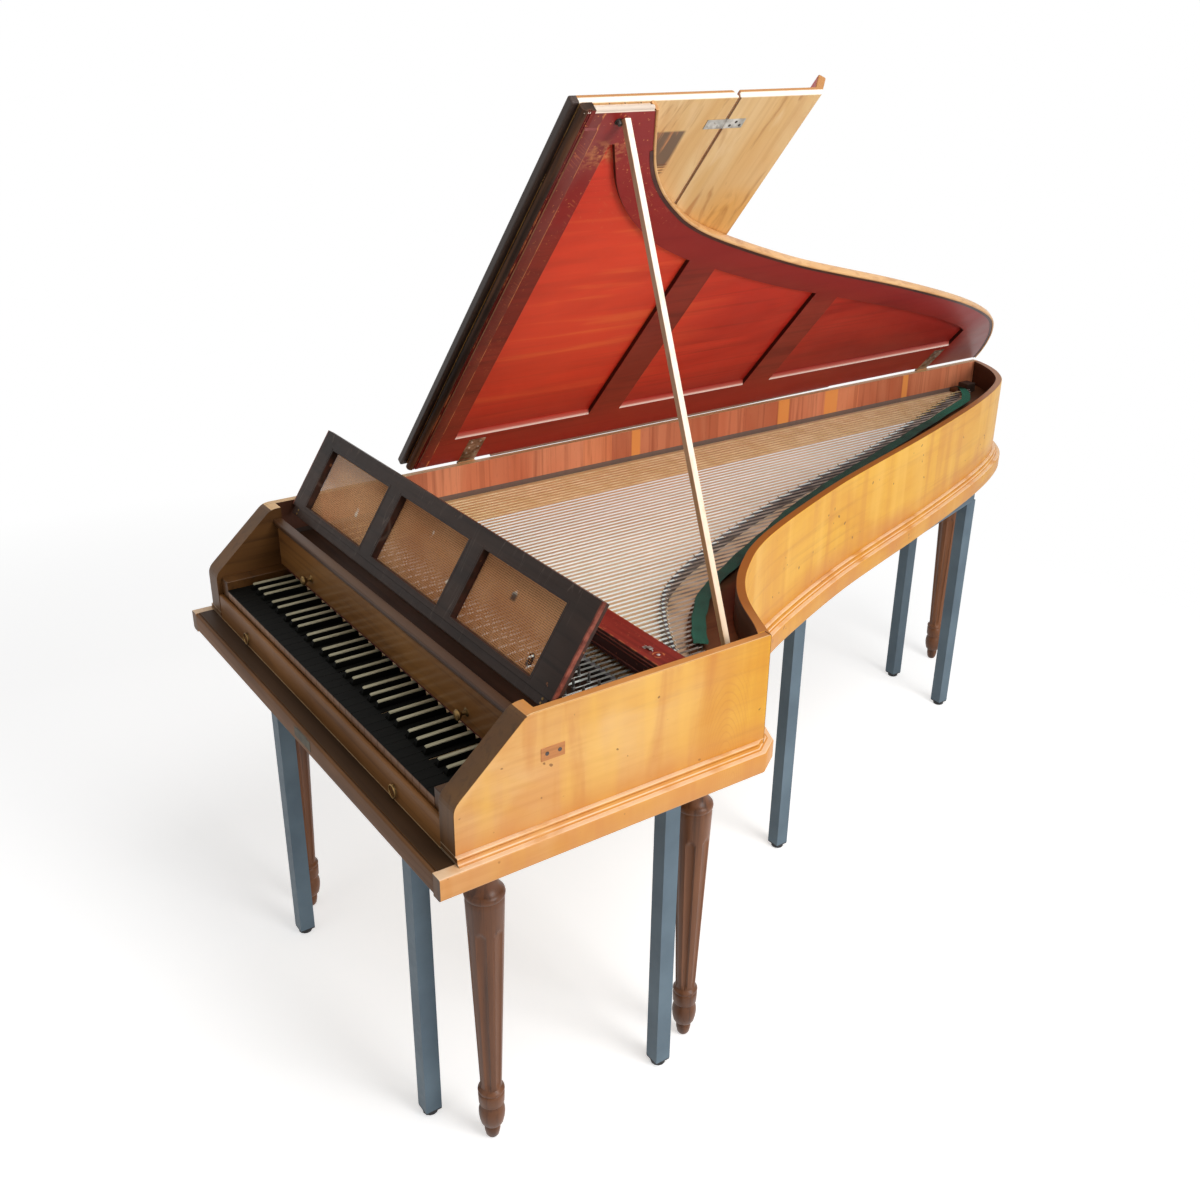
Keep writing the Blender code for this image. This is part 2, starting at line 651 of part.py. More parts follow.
def build_strings():
    pins = []
    pin_z = WREST_PLANK_Z[1] - LAP, WREST_PLANK_Z[1] + PIN_HEIGHT
    for note in range(NOTES):
        for side in (0, 1):
            row = PIN_ROW_Y[(note % 2) * 2 + side]
            x = string_x(note) + (side - 0.5) * PIN_PITCH
            half = PIN_SIZE / 2
            pins.append(box((x - half / 2, x + half / 2), (row - half, row + half), pin_z))
    plank = box((-FREE, FREE), WREST_PLANK_Y, WREST_PLANK_Z)
    piece("wrest_plank", plank, WOOD_DARK, joined=[merged(pins)])
    nut_half = KEYBOARD_HALF + NUT_PAST_STRINGS
    nut_z = WREST_PLANK_Z[1] + FIT, STRING_Z - FIT
    piece("nut", box((-nut_half, nut_half), NUT_Y, nut_z), WOOD_DARK)
    hitch = smooth(on_plan(HITCH_SHAPE), 2)
    half = STRING_PAIR_WIDTH / 2
    comb = [(string_x(0) - half, LISTING_Y[0]), (string_x(NOTES - 1) + half, LISTING_Y[0])]
    for note in reversed(range(NOTES)):
        x = string_x(note)
        end = y_at(hitch, x) + CLOTH_WIDTH
        comb += [(x + half, LISTING_Y[1]), (x + half, end), (x - half, end), (x - half, LISTING_Y[1])]
    comb[2] = (comb[1][0], LISTING_Y[1])
    piece("strings", prism([comb], "Z", STRING_Z, STRING_Z + STRING_THICKNESS), IRON)


def key_edges(group, index):
    """Left and right edges of a natural's head and tail; index 7 is the top note."""
    start = -KEYBOARD_HALF + group * OCTAVE
    lane = LANES if index == 7 else NATURAL_LANES[index]
    half = KEY_GAP / 2
    head = start + index * NATURAL_WIDTH + half, start + (index + 1) * NATURAL_WIDTH - half
    tail = max(start + lane * LANE + half, head[0]), min(start + (lane + 1) * LANE - half, head[1])
    return head, tail


def group_lanes(group):
    return LANES + (group == GROUPS - 1)


def build_keys():
    origin = (0, BALANCE_Y, BALANCE_Z)
    head_end = KEY_FRONT + HEAD_LENGTH
    bar_front = KEY_END - KEY_REAR_BAR
    sharp_low = KEY_BOTTOM - SHARP_LEVER_DROP
    for group in range(GROUPS):
        last = group == GROUPS - 1
        keys = []
        for index in range(7 + last):
            head, tail = key_edges(group, index)
            key = [
                (tail[0], bar_front + LAP), (tail[0], head_end), (head[0], head_end), (head[0], KEY_FRONT),
                (head[1], KEY_FRONT), (head[1], head_end), (tail[1], head_end), (tail[1], bar_front + LAP),
            ]  # fmt: skip
            keys.append(prism([key], "Z", KEY_BOTTOM, NATURAL_TOP))
        left, right = key_edges(group, 0)[1][0], key_edges(group, 6 + last)[1][1]
        kapsel_y = HAMMER_AXIS_Y - KAPSEL_HALF, HAMMER_AXIS_Y + KAPSEL_HALF
        kapsel_z = NATURAL_TOP - LAP, HAMMER_AXIS_Z + KAPSEL_HALF
        ends = [
            box((left, left + KAPSEL_THICKNESS), kapsel_y, kapsel_z),
            box((right - KAPSEL_THICKNESS, right), kapsel_y, kapsel_z),
        ]
        bar = box((left, right), (bar_front, KEY_END), (KEY_BOTTOM + LAP, NATURAL_TOP - LAP / 2))
        piece(f"naturals_{group + 1}", bar, EBONY, origin=origin, joined=[merged(keys), merged(ends)])
        start = -KEYBOARD_HALF + group * OCTAVE
        profile = [
            (SHARP_FRONT, sharp_low), (SHARP_LEVER_END, sharp_low), (SHARP_LEVER_END, NATURAL_TOP),
            (SHARP_END, NATURAL_TOP), (SHARP_END, SHARP_TOP), (SHARP_FRONT + SHARP_BEVEL, SHARP_TOP),
            (SHARP_FRONT, NATURAL_TOP + SHARP_BEVEL_FOOT),
        ]  # fmt: skip
        levers = []
        for lane in SHARP_LANES:
            middle = start + (lane + 0.5) * LANE
            levers.append(prism([profile], "X", middle - SHARP_WIDTH / 2, middle + SHARP_WIDTH / 2))
        reach = start + (SHARP_LANES[0] + 0.5) * LANE, start + (SHARP_LANES[-1] + 0.5) * LANE
        under = box(reach, SHARP_BAR_Y, (sharp_low - SHARP_BAR_DROP, KEY_BOTTOM - 2 * FIT))
        piece(f"sharps_{group + 1}", under, BONE, origin=origin, joined=[merged(levers)])


def build_action():
    half = HAMMER_BAR / 2
    for group in range(GROUPS):
        start = -KEYBOARD_HALF + group * OCTAVE
        clear = KEY_GAP / 2 + KAPSEL_THICKNESS + FIT
        bar_x = start + clear, start + group_lanes(group) * LANE - clear
        bar_y = HAMMER_AXIS_Y - half, HAMMER_AXIS_Y + half
        bar_z = HAMMER_AXIS_Z - half, HAMMER_AXIS_Z + half
        shank = SHANK_THICKNESS / 2
        tip = HAMMER_AXIS_Y - HAMMER_REACH
        profile = [
            (tip, HAMMER_AXIS_Z - shank), (HAMMER_AXIS_Y, HAMMER_AXIS_Z - shank),
            (HAMMER_AXIS_Y, HAMMER_AXIS_Z + shank), (tip + HAMMER_HEAD, HAMMER_AXIS_Z + shank),
            (tip + HAMMER_HEAD, HAMMER_HEAD_TOP), (tip, HAMMER_HEAD_TOP),
        ]  # fmt: skip
        shanks = []
        for lane in range(group_lanes(group)):
            middle = start + (lane + 0.5) * LANE
            shanks.append(prism([profile], "X", middle - HAMMER_WIDTH / 2, middle + HAMMER_WIDTH / 2))
        piece(
            f"hammers_{group + 1}", box(bar_x, bar_y, bar_z), WOOD_PALE,
            origin=(0, HAMMER_AXIS_Y, HAMMER_AXIS_Z), joined=[merged(shanks)],
        )  # fmt: skip
    escapement_z = FRONT_RAIL_TOP, ESCAPEMENT_TOP
    rail_x = -KEY_FRAME_HALF, KEY_FRAME_HALF
    frame_z = WALL_BOTTOM, WALL_BOTTOM + FRAME_THICKNESS
    balance_y = BALANCE_Y - BALANCE_RAIL_HALF, BALANCE_Y + BALANCE_RAIL_HALF
    seat_y = ESCAPEMENT_Y[0] - ESCAPEMENT_SEAT, ESCAPEMENT_Y[1]
    inner_x = FRAME_BORDER - KEY_FRAME_HALF, KEY_FRAME_HALF - FRAME_BORDER
    front_y = FRAME_FRONT, FRAME_FRONT + FRAME_BORDER
    outline = rectangle(rail_x, (FRAME_FRONT, ESCAPEMENT_Y[1]))
    holes = [
        rectangle(inner_x, (front_y[1], balance_y[0] - ESCAPEMENT_SEAT)),
        rectangle(inner_x, (balance_y[1] + ESCAPEMENT_SEAT, REAR_RAIL_Y[0] - ESCAPEMENT_SEAT)),
    ]
    rails = [
        box(rail_x, (front_y[0], front_y[1] - ESCAPEMENT_SEAT), (WALL_BOTTOM, FRONT_RAIL_TOP)),
        box(rail_x, balance_y, (WALL_BOTTOM, BALANCE_Z - BALANCE_PLAY)),
        box(rail_x, REAR_RAIL_Y, (WALL_BOTTOM, KEY_BOTTOM - 2 * FIT)),
        box(rail_x, seat_y, (WALL_BOTTOM, FRONT_RAIL_TOP - FIT)),
    ]
    piece("key_frame", prism([outline, *holes], "Z", *frame_z), WOOD_PALE, joined=rails)
    piece("escapement_rail", box(rail_x, ESCAPEMENT_Y, escapement_z), WOOD_PALE)
    low = STRING_Z + STRING_THICKNESS + FIT
    rail_low, rail_top = DAMPER_RAIL_Z
    comb = [(FREE, rail_low), (FREE, rail_top), (-FREE, rail_top), (-FREE, rail_low)]
    for note in range(NOTES):
        left = string_x(note) - DAMPER_WIDTH / 2
        right = left + DAMPER_WIDTH
        comb += [(left, rail_low), (left, low), (right, low), (right, rail_low)]
    piece("damper_rail", prism([comb], "Y", *DAMPER_Y), WOOD_DARK)
    front, back = COVER_Y
    top = RIM_TOP - COVER_DROP
    under = top - COVER_THICKNESS
    cover = [
        (front, COVER_LIP_BOTTOM), (front + COVER_LIP_DEPTH, COVER_LIP_BOTTOM),
        (front + COVER_LIP_DEPTH, under), (back, under), (back, top), (front, top),
    ]  # fmt: skip
    piece("damper_cover", prism([cover], "X", -FREE, FREE), WOOD_RED)


def build_front():
    block_z = FRONT_RAIL_TOP + FIT, NAMEBOARD_Z[0] - FIT
    block_y = KEY_FRONT, NAMEBOARD_Y[1]
    edge = KEYBOARD_HALF + FIT
    piece("key_block_bass", box((-FRONT_FREE, -edge), block_y, block_z), WOOD_FRONT)
    piece("key_block_treble", box((edge, FRONT_FREE), block_y, block_z), WOOD_FRONT)
    lug_top = RING_TOP_Z - RING_WIRE - FIT
    lug_y = RING_Y - RING_LUG, SLIP_Y[0] + LAP
    lugs = [
        box((x - RING_WIRE, x + RING_WIRE), lug_y, (lug_top - RING_LUG, lug_top))
        for x in (-PULL_X, PULL_X)
    ]
    slip = box((-FRONT_FREE, FRONT_FREE), SLIP_Y, (PLINTH_BAND_TOP + FIT, SLIP_TOP))
    piece("key_slip", slip, WOOD_FRONT, joined=lugs)
    for name, x in (("slip_pull_bass", -PULL_X), ("slip_pull_treble", PULL_X)):
        bpy.ops.mesh.primitive_torus_add(
            major_radius=RING_RADIUS, minor_radius=RING_WIRE, major_segments=16, minor_segments=6
        )
        helper = bpy.context.object
        ring = helper.data
        bpy.data.objects.remove(helper)
        centre = (x, RING_Y, RING_TOP_Z - RING_RADIUS)
        ring.transform(Matrix.Translation(centre) @ Matrix.Rotation(math.pi / 2, 4, "X"))
        ring.shade_smooth()
        piece(name, ring, BRASS, origin=(x, RING_Y, RING_TOP_Z))
    cap_y = NAMEBOARD_Y[0] - CAP_DEPTH, NAMEBOARD_Y[0] + LAP
    cap = box((-FRONT_FREE, FRONT_FREE), cap_y, (NAMEBOARD_Z[1] - CAP_HEIGHT, NAMEBOARD_Z[1] - LAP))
    board = box((-FRONT_FREE, FRONT_FREE), NAMEBOARD_Y, NAMEBOARD_Z)
    piece("nameboard", board, WOOD_FRONT, joined=[cap])
    for name, x in (("nameboard_knob_bass", -KNOB_X), ("nameboard_knob_treble", KNOB_X)):
        place = Matrix.Translation((x, NAMEBOARD_Y[0] - FIT, KNOB_Z)) @ Matrix.Rotation(math.pi / 2, 4, "X")
        turned(name, list(reversed(KNOB_PROFILE)), BRASS, place)


def build_desk():
    pivot_y, pivot_z = DESK_PIVOT
    start = pivot_y - DESK_FOOT
    top = pivot_z + DESK_TOP_OVER_PIVOT
    window_y = start + DESK_WINDOW_S[0], start + DESK_WINDOW_S[1]
    window_z = top - DESK_THICKNESS - LAP, top + LAP
    width = (2 * DESK_HALF - sum(DESK_STILES)) / (len(DESK_STILES) - 1)
    windows = []
    left = -DESK_HALF
    for stile in DESK_STILES[:-1]:
        left += stile
        windows.append(box((left, left + width), window_y, window_z))
        left += width
    pins = [
        rod((side * (DESK_HALF - DESK_GAP), pivot_y, pivot_z), (side * FREE, pivot_y, pivot_z), DESK_PIN, 8)
        for side in (-1, 1)
    ]
    origin = (0, pivot_y, pivot_z)
    turn = (math.radians(DESK_TILT), 0, 0)
    frame = box((-DESK_HALF, DESK_HALF), (start, start + DESK_HEIGHT), (top - DESK_THICKNESS, top))
    piece("desk_frame", frame, WOOD_DARK, origin=origin, turn=turn, joined=pins, cut=[merged(windows)])
    back = top - DESK_THICKNESS - FIT
    side, foot, head = DESK_CLOTH_SETBACK
    cloth_y = start + foot, start + DESK_HEIGHT - head
    cloth = box((side - DESK_HALF, DESK_HALF - side), cloth_y, (back - DESK_CLOTH, back))
    piece("desk_cloth", cloth, CLOTH_CANE, origin=origin, turn=turn)


def lid_outline(inset):
    """The lid's plan in (u, y) from the treble edge to the tail, an inset inside its edge."""
    path = [(x - LID_AXIS[0], y) for x, y in offset(case_path(), LID_OVERHANG - inset)]
    return [(min(max(u, LID_EDGE_U), LID_TREBLE_U - inset), y) for u, y in path]


def build_lid():
    inner = LID_INNER_W
    outer = inner + LID_THICKNESS
    plan = [(LID_EDGE_U, LID_FRONT), (LID_TREBLE_U, LID_FRONT), *lid_outline(0)]
    edge = lid_outline(LID_BORDER_BENTSIDE)
    panels = []
    for low, high in LID_PANELS_Y:
        curved = [(u, y) for u, y in edge if low < y < high]
        ends = (x_at(edge, low), low), (x_at(edge, high), high)
        panel = [(LID_BORDER_SPINE, low), ends[0], *curved, ends[1], (LID_BORDER_SPINE, high)]
        panels.append(prism([panel], "Z", inner - LAP, inner + LID_PANEL_DEPTH))
    leaf_beds = [
        box(
            (LID_EDGE_U - LAP, HINGE_LEAF_END + HINGE_BED_GAP),
            (y - HINGE_HALF - HINGE_BED_GAP, y + HINGE_HALF + HINGE_BED_GAP),
            (inner - LAP, HINGE_LEAF_W[1] + FIT),
        )
        for y in HINGE_YS
    ]
    plate = prism([plan], "Z", inner, outer)
    piece("lid", plate, WOOD_RED, parent=LID_EMPTY, cut=[merged(panels), merged(leaf_beds)])
    for name, y in zip(("lid_hinge_front", "lid_hinge_rear"), HINGE_YS):
        leaf = box((0, HINGE_LEAF_END), (y - HINGE_HALF, y + HINGE_HALF), HINGE_LEAF_W)
        half = HINGE_HALF - HINGE_BED_GAP
        barrel = rod((0, y - half, 0), (0, y + half, 0), HINGE_BARREL)
        piece(name, leaf, IRON, parent=LID_EMPTY, joined=[barrel])


def build_flaps():
    low, high = FLAP_W, FLAP_W + FLAP_THICKNESS
    slant = FLAP_THICKNESS * math.tan(math.radians(MITRE_ANGLE))
    root = FLAP_AXIS_Y - FLAP_ROOT_BACK
    ends = LID_EDGE_U, LID_TREBLE_U
    front = [
        (root, low), (FLAP_JOINT_Y - FIT, low), (FLAP_JOINT_Y - FIT - slant, high), (root, high)
    ]  # fmt: skip
    axis = 0, FLAP_AXIS_Y, FLAP_AXIS_W
    piece("front_flap", prism([front], "X", *ends), WOOD_RED, parent=LID_EMPTY, origin=axis)
    end = FLAP_JOINT_Y + FALL_LENGTH
    turn = math.radians(90 - FALL_ANGLE)
    along = Vector((math.cos(turn), math.sin(turn)))
    inward = Vector((-along.y, along.x))
    corner = Vector((end, low))
    tip = corner + along * LIP_LENGTH
    # The lip's inner face meets the fall's inner face where both are a thickness in
    rise = (FLAP_THICKNESS - LIP_THICKNESS * inward.y) / along.y
    valley = corner + inward * LIP_THICKNESS + along * rise
    fall = [
        (FLAP_JOINT_Y + FIT, low), tuple(corner), tuple(tip), tuple(tip + inward * LIP_THICKNESS),
        tuple(valley), (FLAP_JOINT_Y + FIT + slant, high),
    ]  # fmt: skip
    axis = 0, FLAP_JOINT_Y, FLAP_W
    piece("fall_flap", prism([fall], "X", *ends), WOOD_RED, parent=LID_EMPTY, origin=axis)
    plate_y = FLAP_JOINT_Y - FLAP_PLATE_HALF, FLAP_JOINT_Y + FLAP_PLATE_HALF
    plate_top = low - FIT
    plate = box(FLAP_PLATE_U, plate_y, (plate_top - FLAP_PLATE_THICKNESS, plate_top))
    barrel_w = plate_top - FLAP_BARREL
    ends = [(u, FLAP_JOINT_Y, barrel_w) for u in FLAP_PLATE_U]
    barrel = rod(*ends, FLAP_BARREL)
    piece("flap_hinge_treble", plate, IRON, parent=LID_EMPTY, joined=[barrel])


def build_prop():
    """The stick stands on the block in the cheek and leans to the lid's treble edge."""
    lean = math.radians(LID_OPEN)
    top = LID_FRAME @ Vector((LID_TREBLE_U - PROP_TOP_INSET, PROP_Y, LID_INNER_W))
    start = Vector((INNER - PROP_INSET, PROP_Y, RIM_TOP - PROP_BLOCK_DROP + FIT))
    along = (top - start).normalized()
    across = Vector((along.z, 0, -along.x))
    lid_normal = Vector((-math.sin(lean), 0, math.cos(lean)))
    half = PROP_SIZE / 2
    foot = start + Vector((0, 0, half * abs(across.z)))
    room = (top - foot).dot(lid_normal) - half * abs(across.dot(lid_normal)) - FIT
    length = room / along.dot(lid_normal)
    size = box((-half, half), (-half, half), (0, length))
    angle = math.atan2(along.x, along.z)
    size.transform(Matrix.Translation(foot) @ Matrix.Rotation(angle, 4, "Y"))
    piece("prop_stick", size, WOOD_DARK, origin=tuple(start))


def strut(start, end, top):
    """A level tube between two uprights."""
    along = (Vector(end) - Vector(start)).normalized() * (TUBE / 2 - LAP)
    path = [tuple(Vector(start) - along), tuple(Vector(end))]
    outline = [*offset(path, TUBE / 2 - LAP), *reversed(offset(path, LAP - TUBE / 2))]
    return prism([outline], "Z", top - TUBE + LAP, top - LAP)


def build_stand():
    half = TUBE / 2
    top = CASE_BOTTOM - FIT
    loop = [STAND_FEET[name] for name in STAND_RING]
    ring = [offset([loop[-1], *loop, loop[0]], side)[1:-1] for side in (half, -half)]
    rails = prism(ring, "Z", top - TUBE, top)
    tubes = [
        box((x - half, x + half), (y - half, y + half), (PAD_HEIGHT, top - TUBE + 3 * LAP))
        for x, y in STAND_FEET.values()
    ]
    cheek = STAND_FEET["cheek"]
    middle, side = STAND_FEET["front_middle"], STAND_FEET["bentside"]
    share = (cheek[1] - middle[1]) / (side[1] - middle[1])
    across = middle[0] + (side[0] - middle[0]) * share, cheek[1]
    spurs = [strut(cheek, across, top), strut(middle, cheek, top)]
    piece("stand_frame", rails, STEEL_PAINT, joined=[*spurs, merged(tubes)])
    for name, (x, y) in STAND_FEET.items():
        under = PAD_HEIGHT - PAD_FLANGE
        flange = box((x - half, x + half), (y - half, y + half), (under, PAD_HEIGHT - FIT))
        button = rod((x, y, 0), (x, y, under + LAP), PAD_RADIUS)
        piece(f"rubber_foot_{name}", flange, RUBBER, joined=[button])
    for name, (x, y) in LEG_FEET.items():
        turned(f"leg_{name}", FLUTED_LEG, WALNUT, Matrix.Translation((x, y, 0)))


def centre_on_origin():
    """Moves the frame so that the origin lies under the middle of the instrument."""
    bpy.context.view_layer.update()
    graph = bpy.context.evaluated_depsgraph_get()
    places = []
    for thing in PARTS.objects:
        if thing.type == "MESH":
            evaluated = thing.evaluated_get(graph)
            places += [evaluated.matrix_world @ vertex.co for vertex in evaluated.data.vertices]
    for axis in (0, 1):
        values = [place[axis] for place in places]
        ROOT.location[axis] -= (min(values) + max(values)) / 2
    bpy.context.view_layer.update()


clear_scene()
PARTS = new_collection("fortepiano")
CUTTERS = new_collection("cutters")
ROOT = new_empty("fortepiano_frame", None, Matrix.Identity(4))
LID_EMPTY = new_empty("lid_axis", ROOT, LID_FRAME)

build_case()
build_inside()
build_strings()
build_keys()
build_action()
build_front()
build_desk()
build_lid()
build_flaps()
build_prop()
build_stand()
centre_on_origin()
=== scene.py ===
# %% [markdown]
# # A fortepiano: its looks
#
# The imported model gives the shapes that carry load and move. This script dresses them: every piece
# gets its wood, metal, bone or cloth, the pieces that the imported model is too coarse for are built
# again in fine form, and a small studio lights them. Each step is a cell of its own.

import json
import math
import random

import bmesh
import bpy
from mathutils import Matrix, Vector


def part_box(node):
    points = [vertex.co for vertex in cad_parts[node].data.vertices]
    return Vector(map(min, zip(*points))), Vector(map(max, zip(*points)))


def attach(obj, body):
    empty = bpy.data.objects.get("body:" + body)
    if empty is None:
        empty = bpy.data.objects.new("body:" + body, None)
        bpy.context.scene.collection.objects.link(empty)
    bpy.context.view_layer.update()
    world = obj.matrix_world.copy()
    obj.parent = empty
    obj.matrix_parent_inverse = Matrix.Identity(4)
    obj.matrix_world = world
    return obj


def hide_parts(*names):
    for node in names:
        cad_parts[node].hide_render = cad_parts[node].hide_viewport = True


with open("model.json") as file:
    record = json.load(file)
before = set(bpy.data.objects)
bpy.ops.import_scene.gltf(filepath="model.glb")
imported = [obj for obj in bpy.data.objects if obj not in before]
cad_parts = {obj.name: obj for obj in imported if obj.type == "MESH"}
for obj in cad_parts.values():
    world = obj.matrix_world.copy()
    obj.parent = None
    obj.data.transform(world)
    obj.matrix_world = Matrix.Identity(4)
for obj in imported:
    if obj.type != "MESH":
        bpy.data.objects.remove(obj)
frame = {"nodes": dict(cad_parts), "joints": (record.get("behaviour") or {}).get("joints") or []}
nodes = frame["nodes"]
joints = {joint["name"]: joint for joint in frame["joints"]}
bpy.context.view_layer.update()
random.seed(61)
print("nodes:", len(nodes), "joints:", len(joints))

# %% [markdown]
# ## One set of coordinates
#
# The design frame has x at the middle of the keyboard, y at the fronts of the cheeks and z on the
# floor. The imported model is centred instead, so a shift leads from one to the other: the key slip's
# front and its two ends give it. The lid and the desk have frames of their own, in which they lie
# flat, so that their pieces are written as plainly as those of the case.

# %% Places
SLIP_FRONT_Y = -0.0052
LID_AXIS_X = -0.486
DESK_PIVOT_Z = 0.8595
DESK_TILT = math.radians(57.2)

slip_low, slip_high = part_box("key_slip")
SHIFT = Vector(((slip_low.x + slip_high.x) / 2, slip_low.y - SLIP_FRONT_Y, 0))
DESIGN = Matrix.Translation(SHIFT)
LID_OPEN = -math.radians(joints["lid_hinge"]["range_deg"][0])
LID_AXIS_Z = joints["lid_hinge"]["pos_m"][2]
LID = DESIGN @ Matrix.Translation((LID_AXIS_X, 0, LID_AXIS_Z)) @ Matrix.Rotation(-LID_OPEN, 4, "Y")
DESK_PIVOT_Y = joints["desk_tilt"]["pos_m"][1] - SHIFT.y
DESK = DESIGN @ Matrix.Translation((0, DESK_PIVOT_Y, DESK_PIVOT_Z)) @ Matrix.Rotation(DESK_TILT, 4, "X")


def span(name):
    """The lowest and highest corner of a node's box, in the design frame."""
    low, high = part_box(name)
    return low - SHIFT, high - SHIFT


RIM_TOP = span("cheek")[1].z
CASE_HALF = span("cheek")[1].x
WALL = CASE_HALF - span("soundboard")[1].x
INNER = CASE_HALF - WALL
STRING_Z = span("strings")[0].z
FIT = 0.0003
print("shift:", tuple(round(value, 4) for value in SHIFT), "rim at", round(RIM_TOP, 3))

# %% [markdown]
# ## Plans read from the frame
#
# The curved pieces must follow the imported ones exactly, so their plans are read from the frame: the
# border of a node's flat face at one height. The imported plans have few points, and a Catmull-Rom
# curve through them gives the smooth sweep of the real bentside, while sharp corners stay sharp.


# %% Outlines
def outline(name, place, height):
    """The borders of a node's flat faces at a height of the place, longest first."""
    mesh = nodes[name].data
    back = place.inverted()
    points = [back @ vertex.co for vertex in mesh.vertices]
    number = {}
    index = [number.setdefault(tuple(round(value, 5) for value in point), len(number)) for point in points]
    spot = {place_number: point for place_number, point in zip(index, points)}
    sides = set()
    for face in mesh.polygons:
        if all(abs(points[corner].z - height) < 5e-5 for corner in face.vertices):
            around = [index[corner] for corner in face.vertices]
            sides |= set(zip(around, around[1:] + around[:1]))
    following = {a: b for a, b in sides if (b, a) not in sides}
    loops = []
    while following:
        start, after = following.popitem()
        loop = [start]
        while after != start:
            loop.append(after)
            after = following.pop(after)
        loops.append([spot[corner].to_2d() for corner in loop])
    return sorted(loops, key=girth, reverse=True)


def girth(loop):
    return sum((q - p).length for p, q in zip(loop, loop[1:] + loop[:1]))


def sharp_corner(before, here, after):
    """A corner, or a place where a long straight side meets a curve."""
    first, second = here - before, after - here
    lengths = sorted((first.length, second.length))
    return first.angle(second) > math.radians(30) or lengths[1] > 3 * lengths[0]


def smoothed(loop, steps=5):
    """The loop with its curved stretches drawn through more points."""
    count = len(loop)
    sharp = [sharp_corner(loop[i - 1], loop[i], loop[(i + 1) % count]) for i in range(count)]
    result = []
    for i in range(count):
        b, c = loop[i], loop[(i + 1) % count]
        result.append(b)
        if sharp[i] and sharp[(i + 1) % count]:
            continue
        a = b if sharp[i] else loop[i - 1]
        d = c if sharp[(i + 1) % count] else loop[(i + 2) % count]
        for step in range(1, steps):
            t = step / steps
            cubic = (3 * b - a - 3 * c + d) * t**3
            result.append(0.5 * (2 * b + (c - a) * t + (2 * a - 5 * b + 4 * c - d) * t * t + cubic))
    return result


def route(loop, start, towards):
    """The loop's points in order, from the one nearest to start and first towards the other point."""
    first = min(range(len(loop)), key=lambda i: (loop[i] - Vector(start)).length)
    ordered = loop[first:] + loop[:first]
    backwards = [ordered[0], *reversed(ordered[1:])]
    goal = Vector(towards)
    return min(ordered, backwards, key=lambda path: (path[1] - goal).length)


def moved(path, distance):
    """A path moved to its right-hand side, with mitred corners."""
    result = []
    for i, here in enumerate(path):
        normals = []
        for other, sign in ((i - 1, 1), (i + 1, -1)):
            if 0 <= other < len(path):
                along = (here - path[other]) * sign
                normals.append(Vector((along.y, -along.x)).normalized())
        middle = sum(normals, Vector((0, 0))).normalized()
        result.append(here + middle * (distance / middle.dot(normals[0])))
    return result


def long_sides(loop, start, towards):
    """The two long sides of a strip's outline, both from the start's end to the far end."""
    ordered = route(loop, start, towards)
    half = len(ordered) // 2
    return ordered[:half], ordered[: half - 1 : -1]


def lengthened(path, before, after):
    """A path drawn out straight past its two ends."""
    first = path[0] + (path[0] - path[1]).normalized() * before
    last = path[-1] + (path[-1] - path[-2]).normalized() * after
    return [first, *path, last]


def crossings(loop, x):
    """The values of y at which a loop crosses x, in order."""
    pairs = zip(loop, loop[1:] + loop[:1])
    return sorted(p.y + (q.y - p.y) * (x - p.x) / (q.x - p.x) for p, q in pairs if (p.x < x) != (q.x < x))


board_low = span("bottom_board")[0].z
case_plan = smoothed(outline("bottom_board", DESIGN, board_low)[0])
case_route = route(case_plan, (CASE_HALF, 0), (CASE_HALF, 1))
print("case plan:", len(case_plan), "points, girth", round(girth(case_plan), 3))

# %% [markdown]
# ## A drawing board for meshes
#
# All fine pieces come from a few forms: a slab with an outline, rows of points joined by faces, a
# tube along a path and a turned shape. The points are given in the coordinates of a place and are
# stored in those of the world, so the finished objects need no transform of their own.


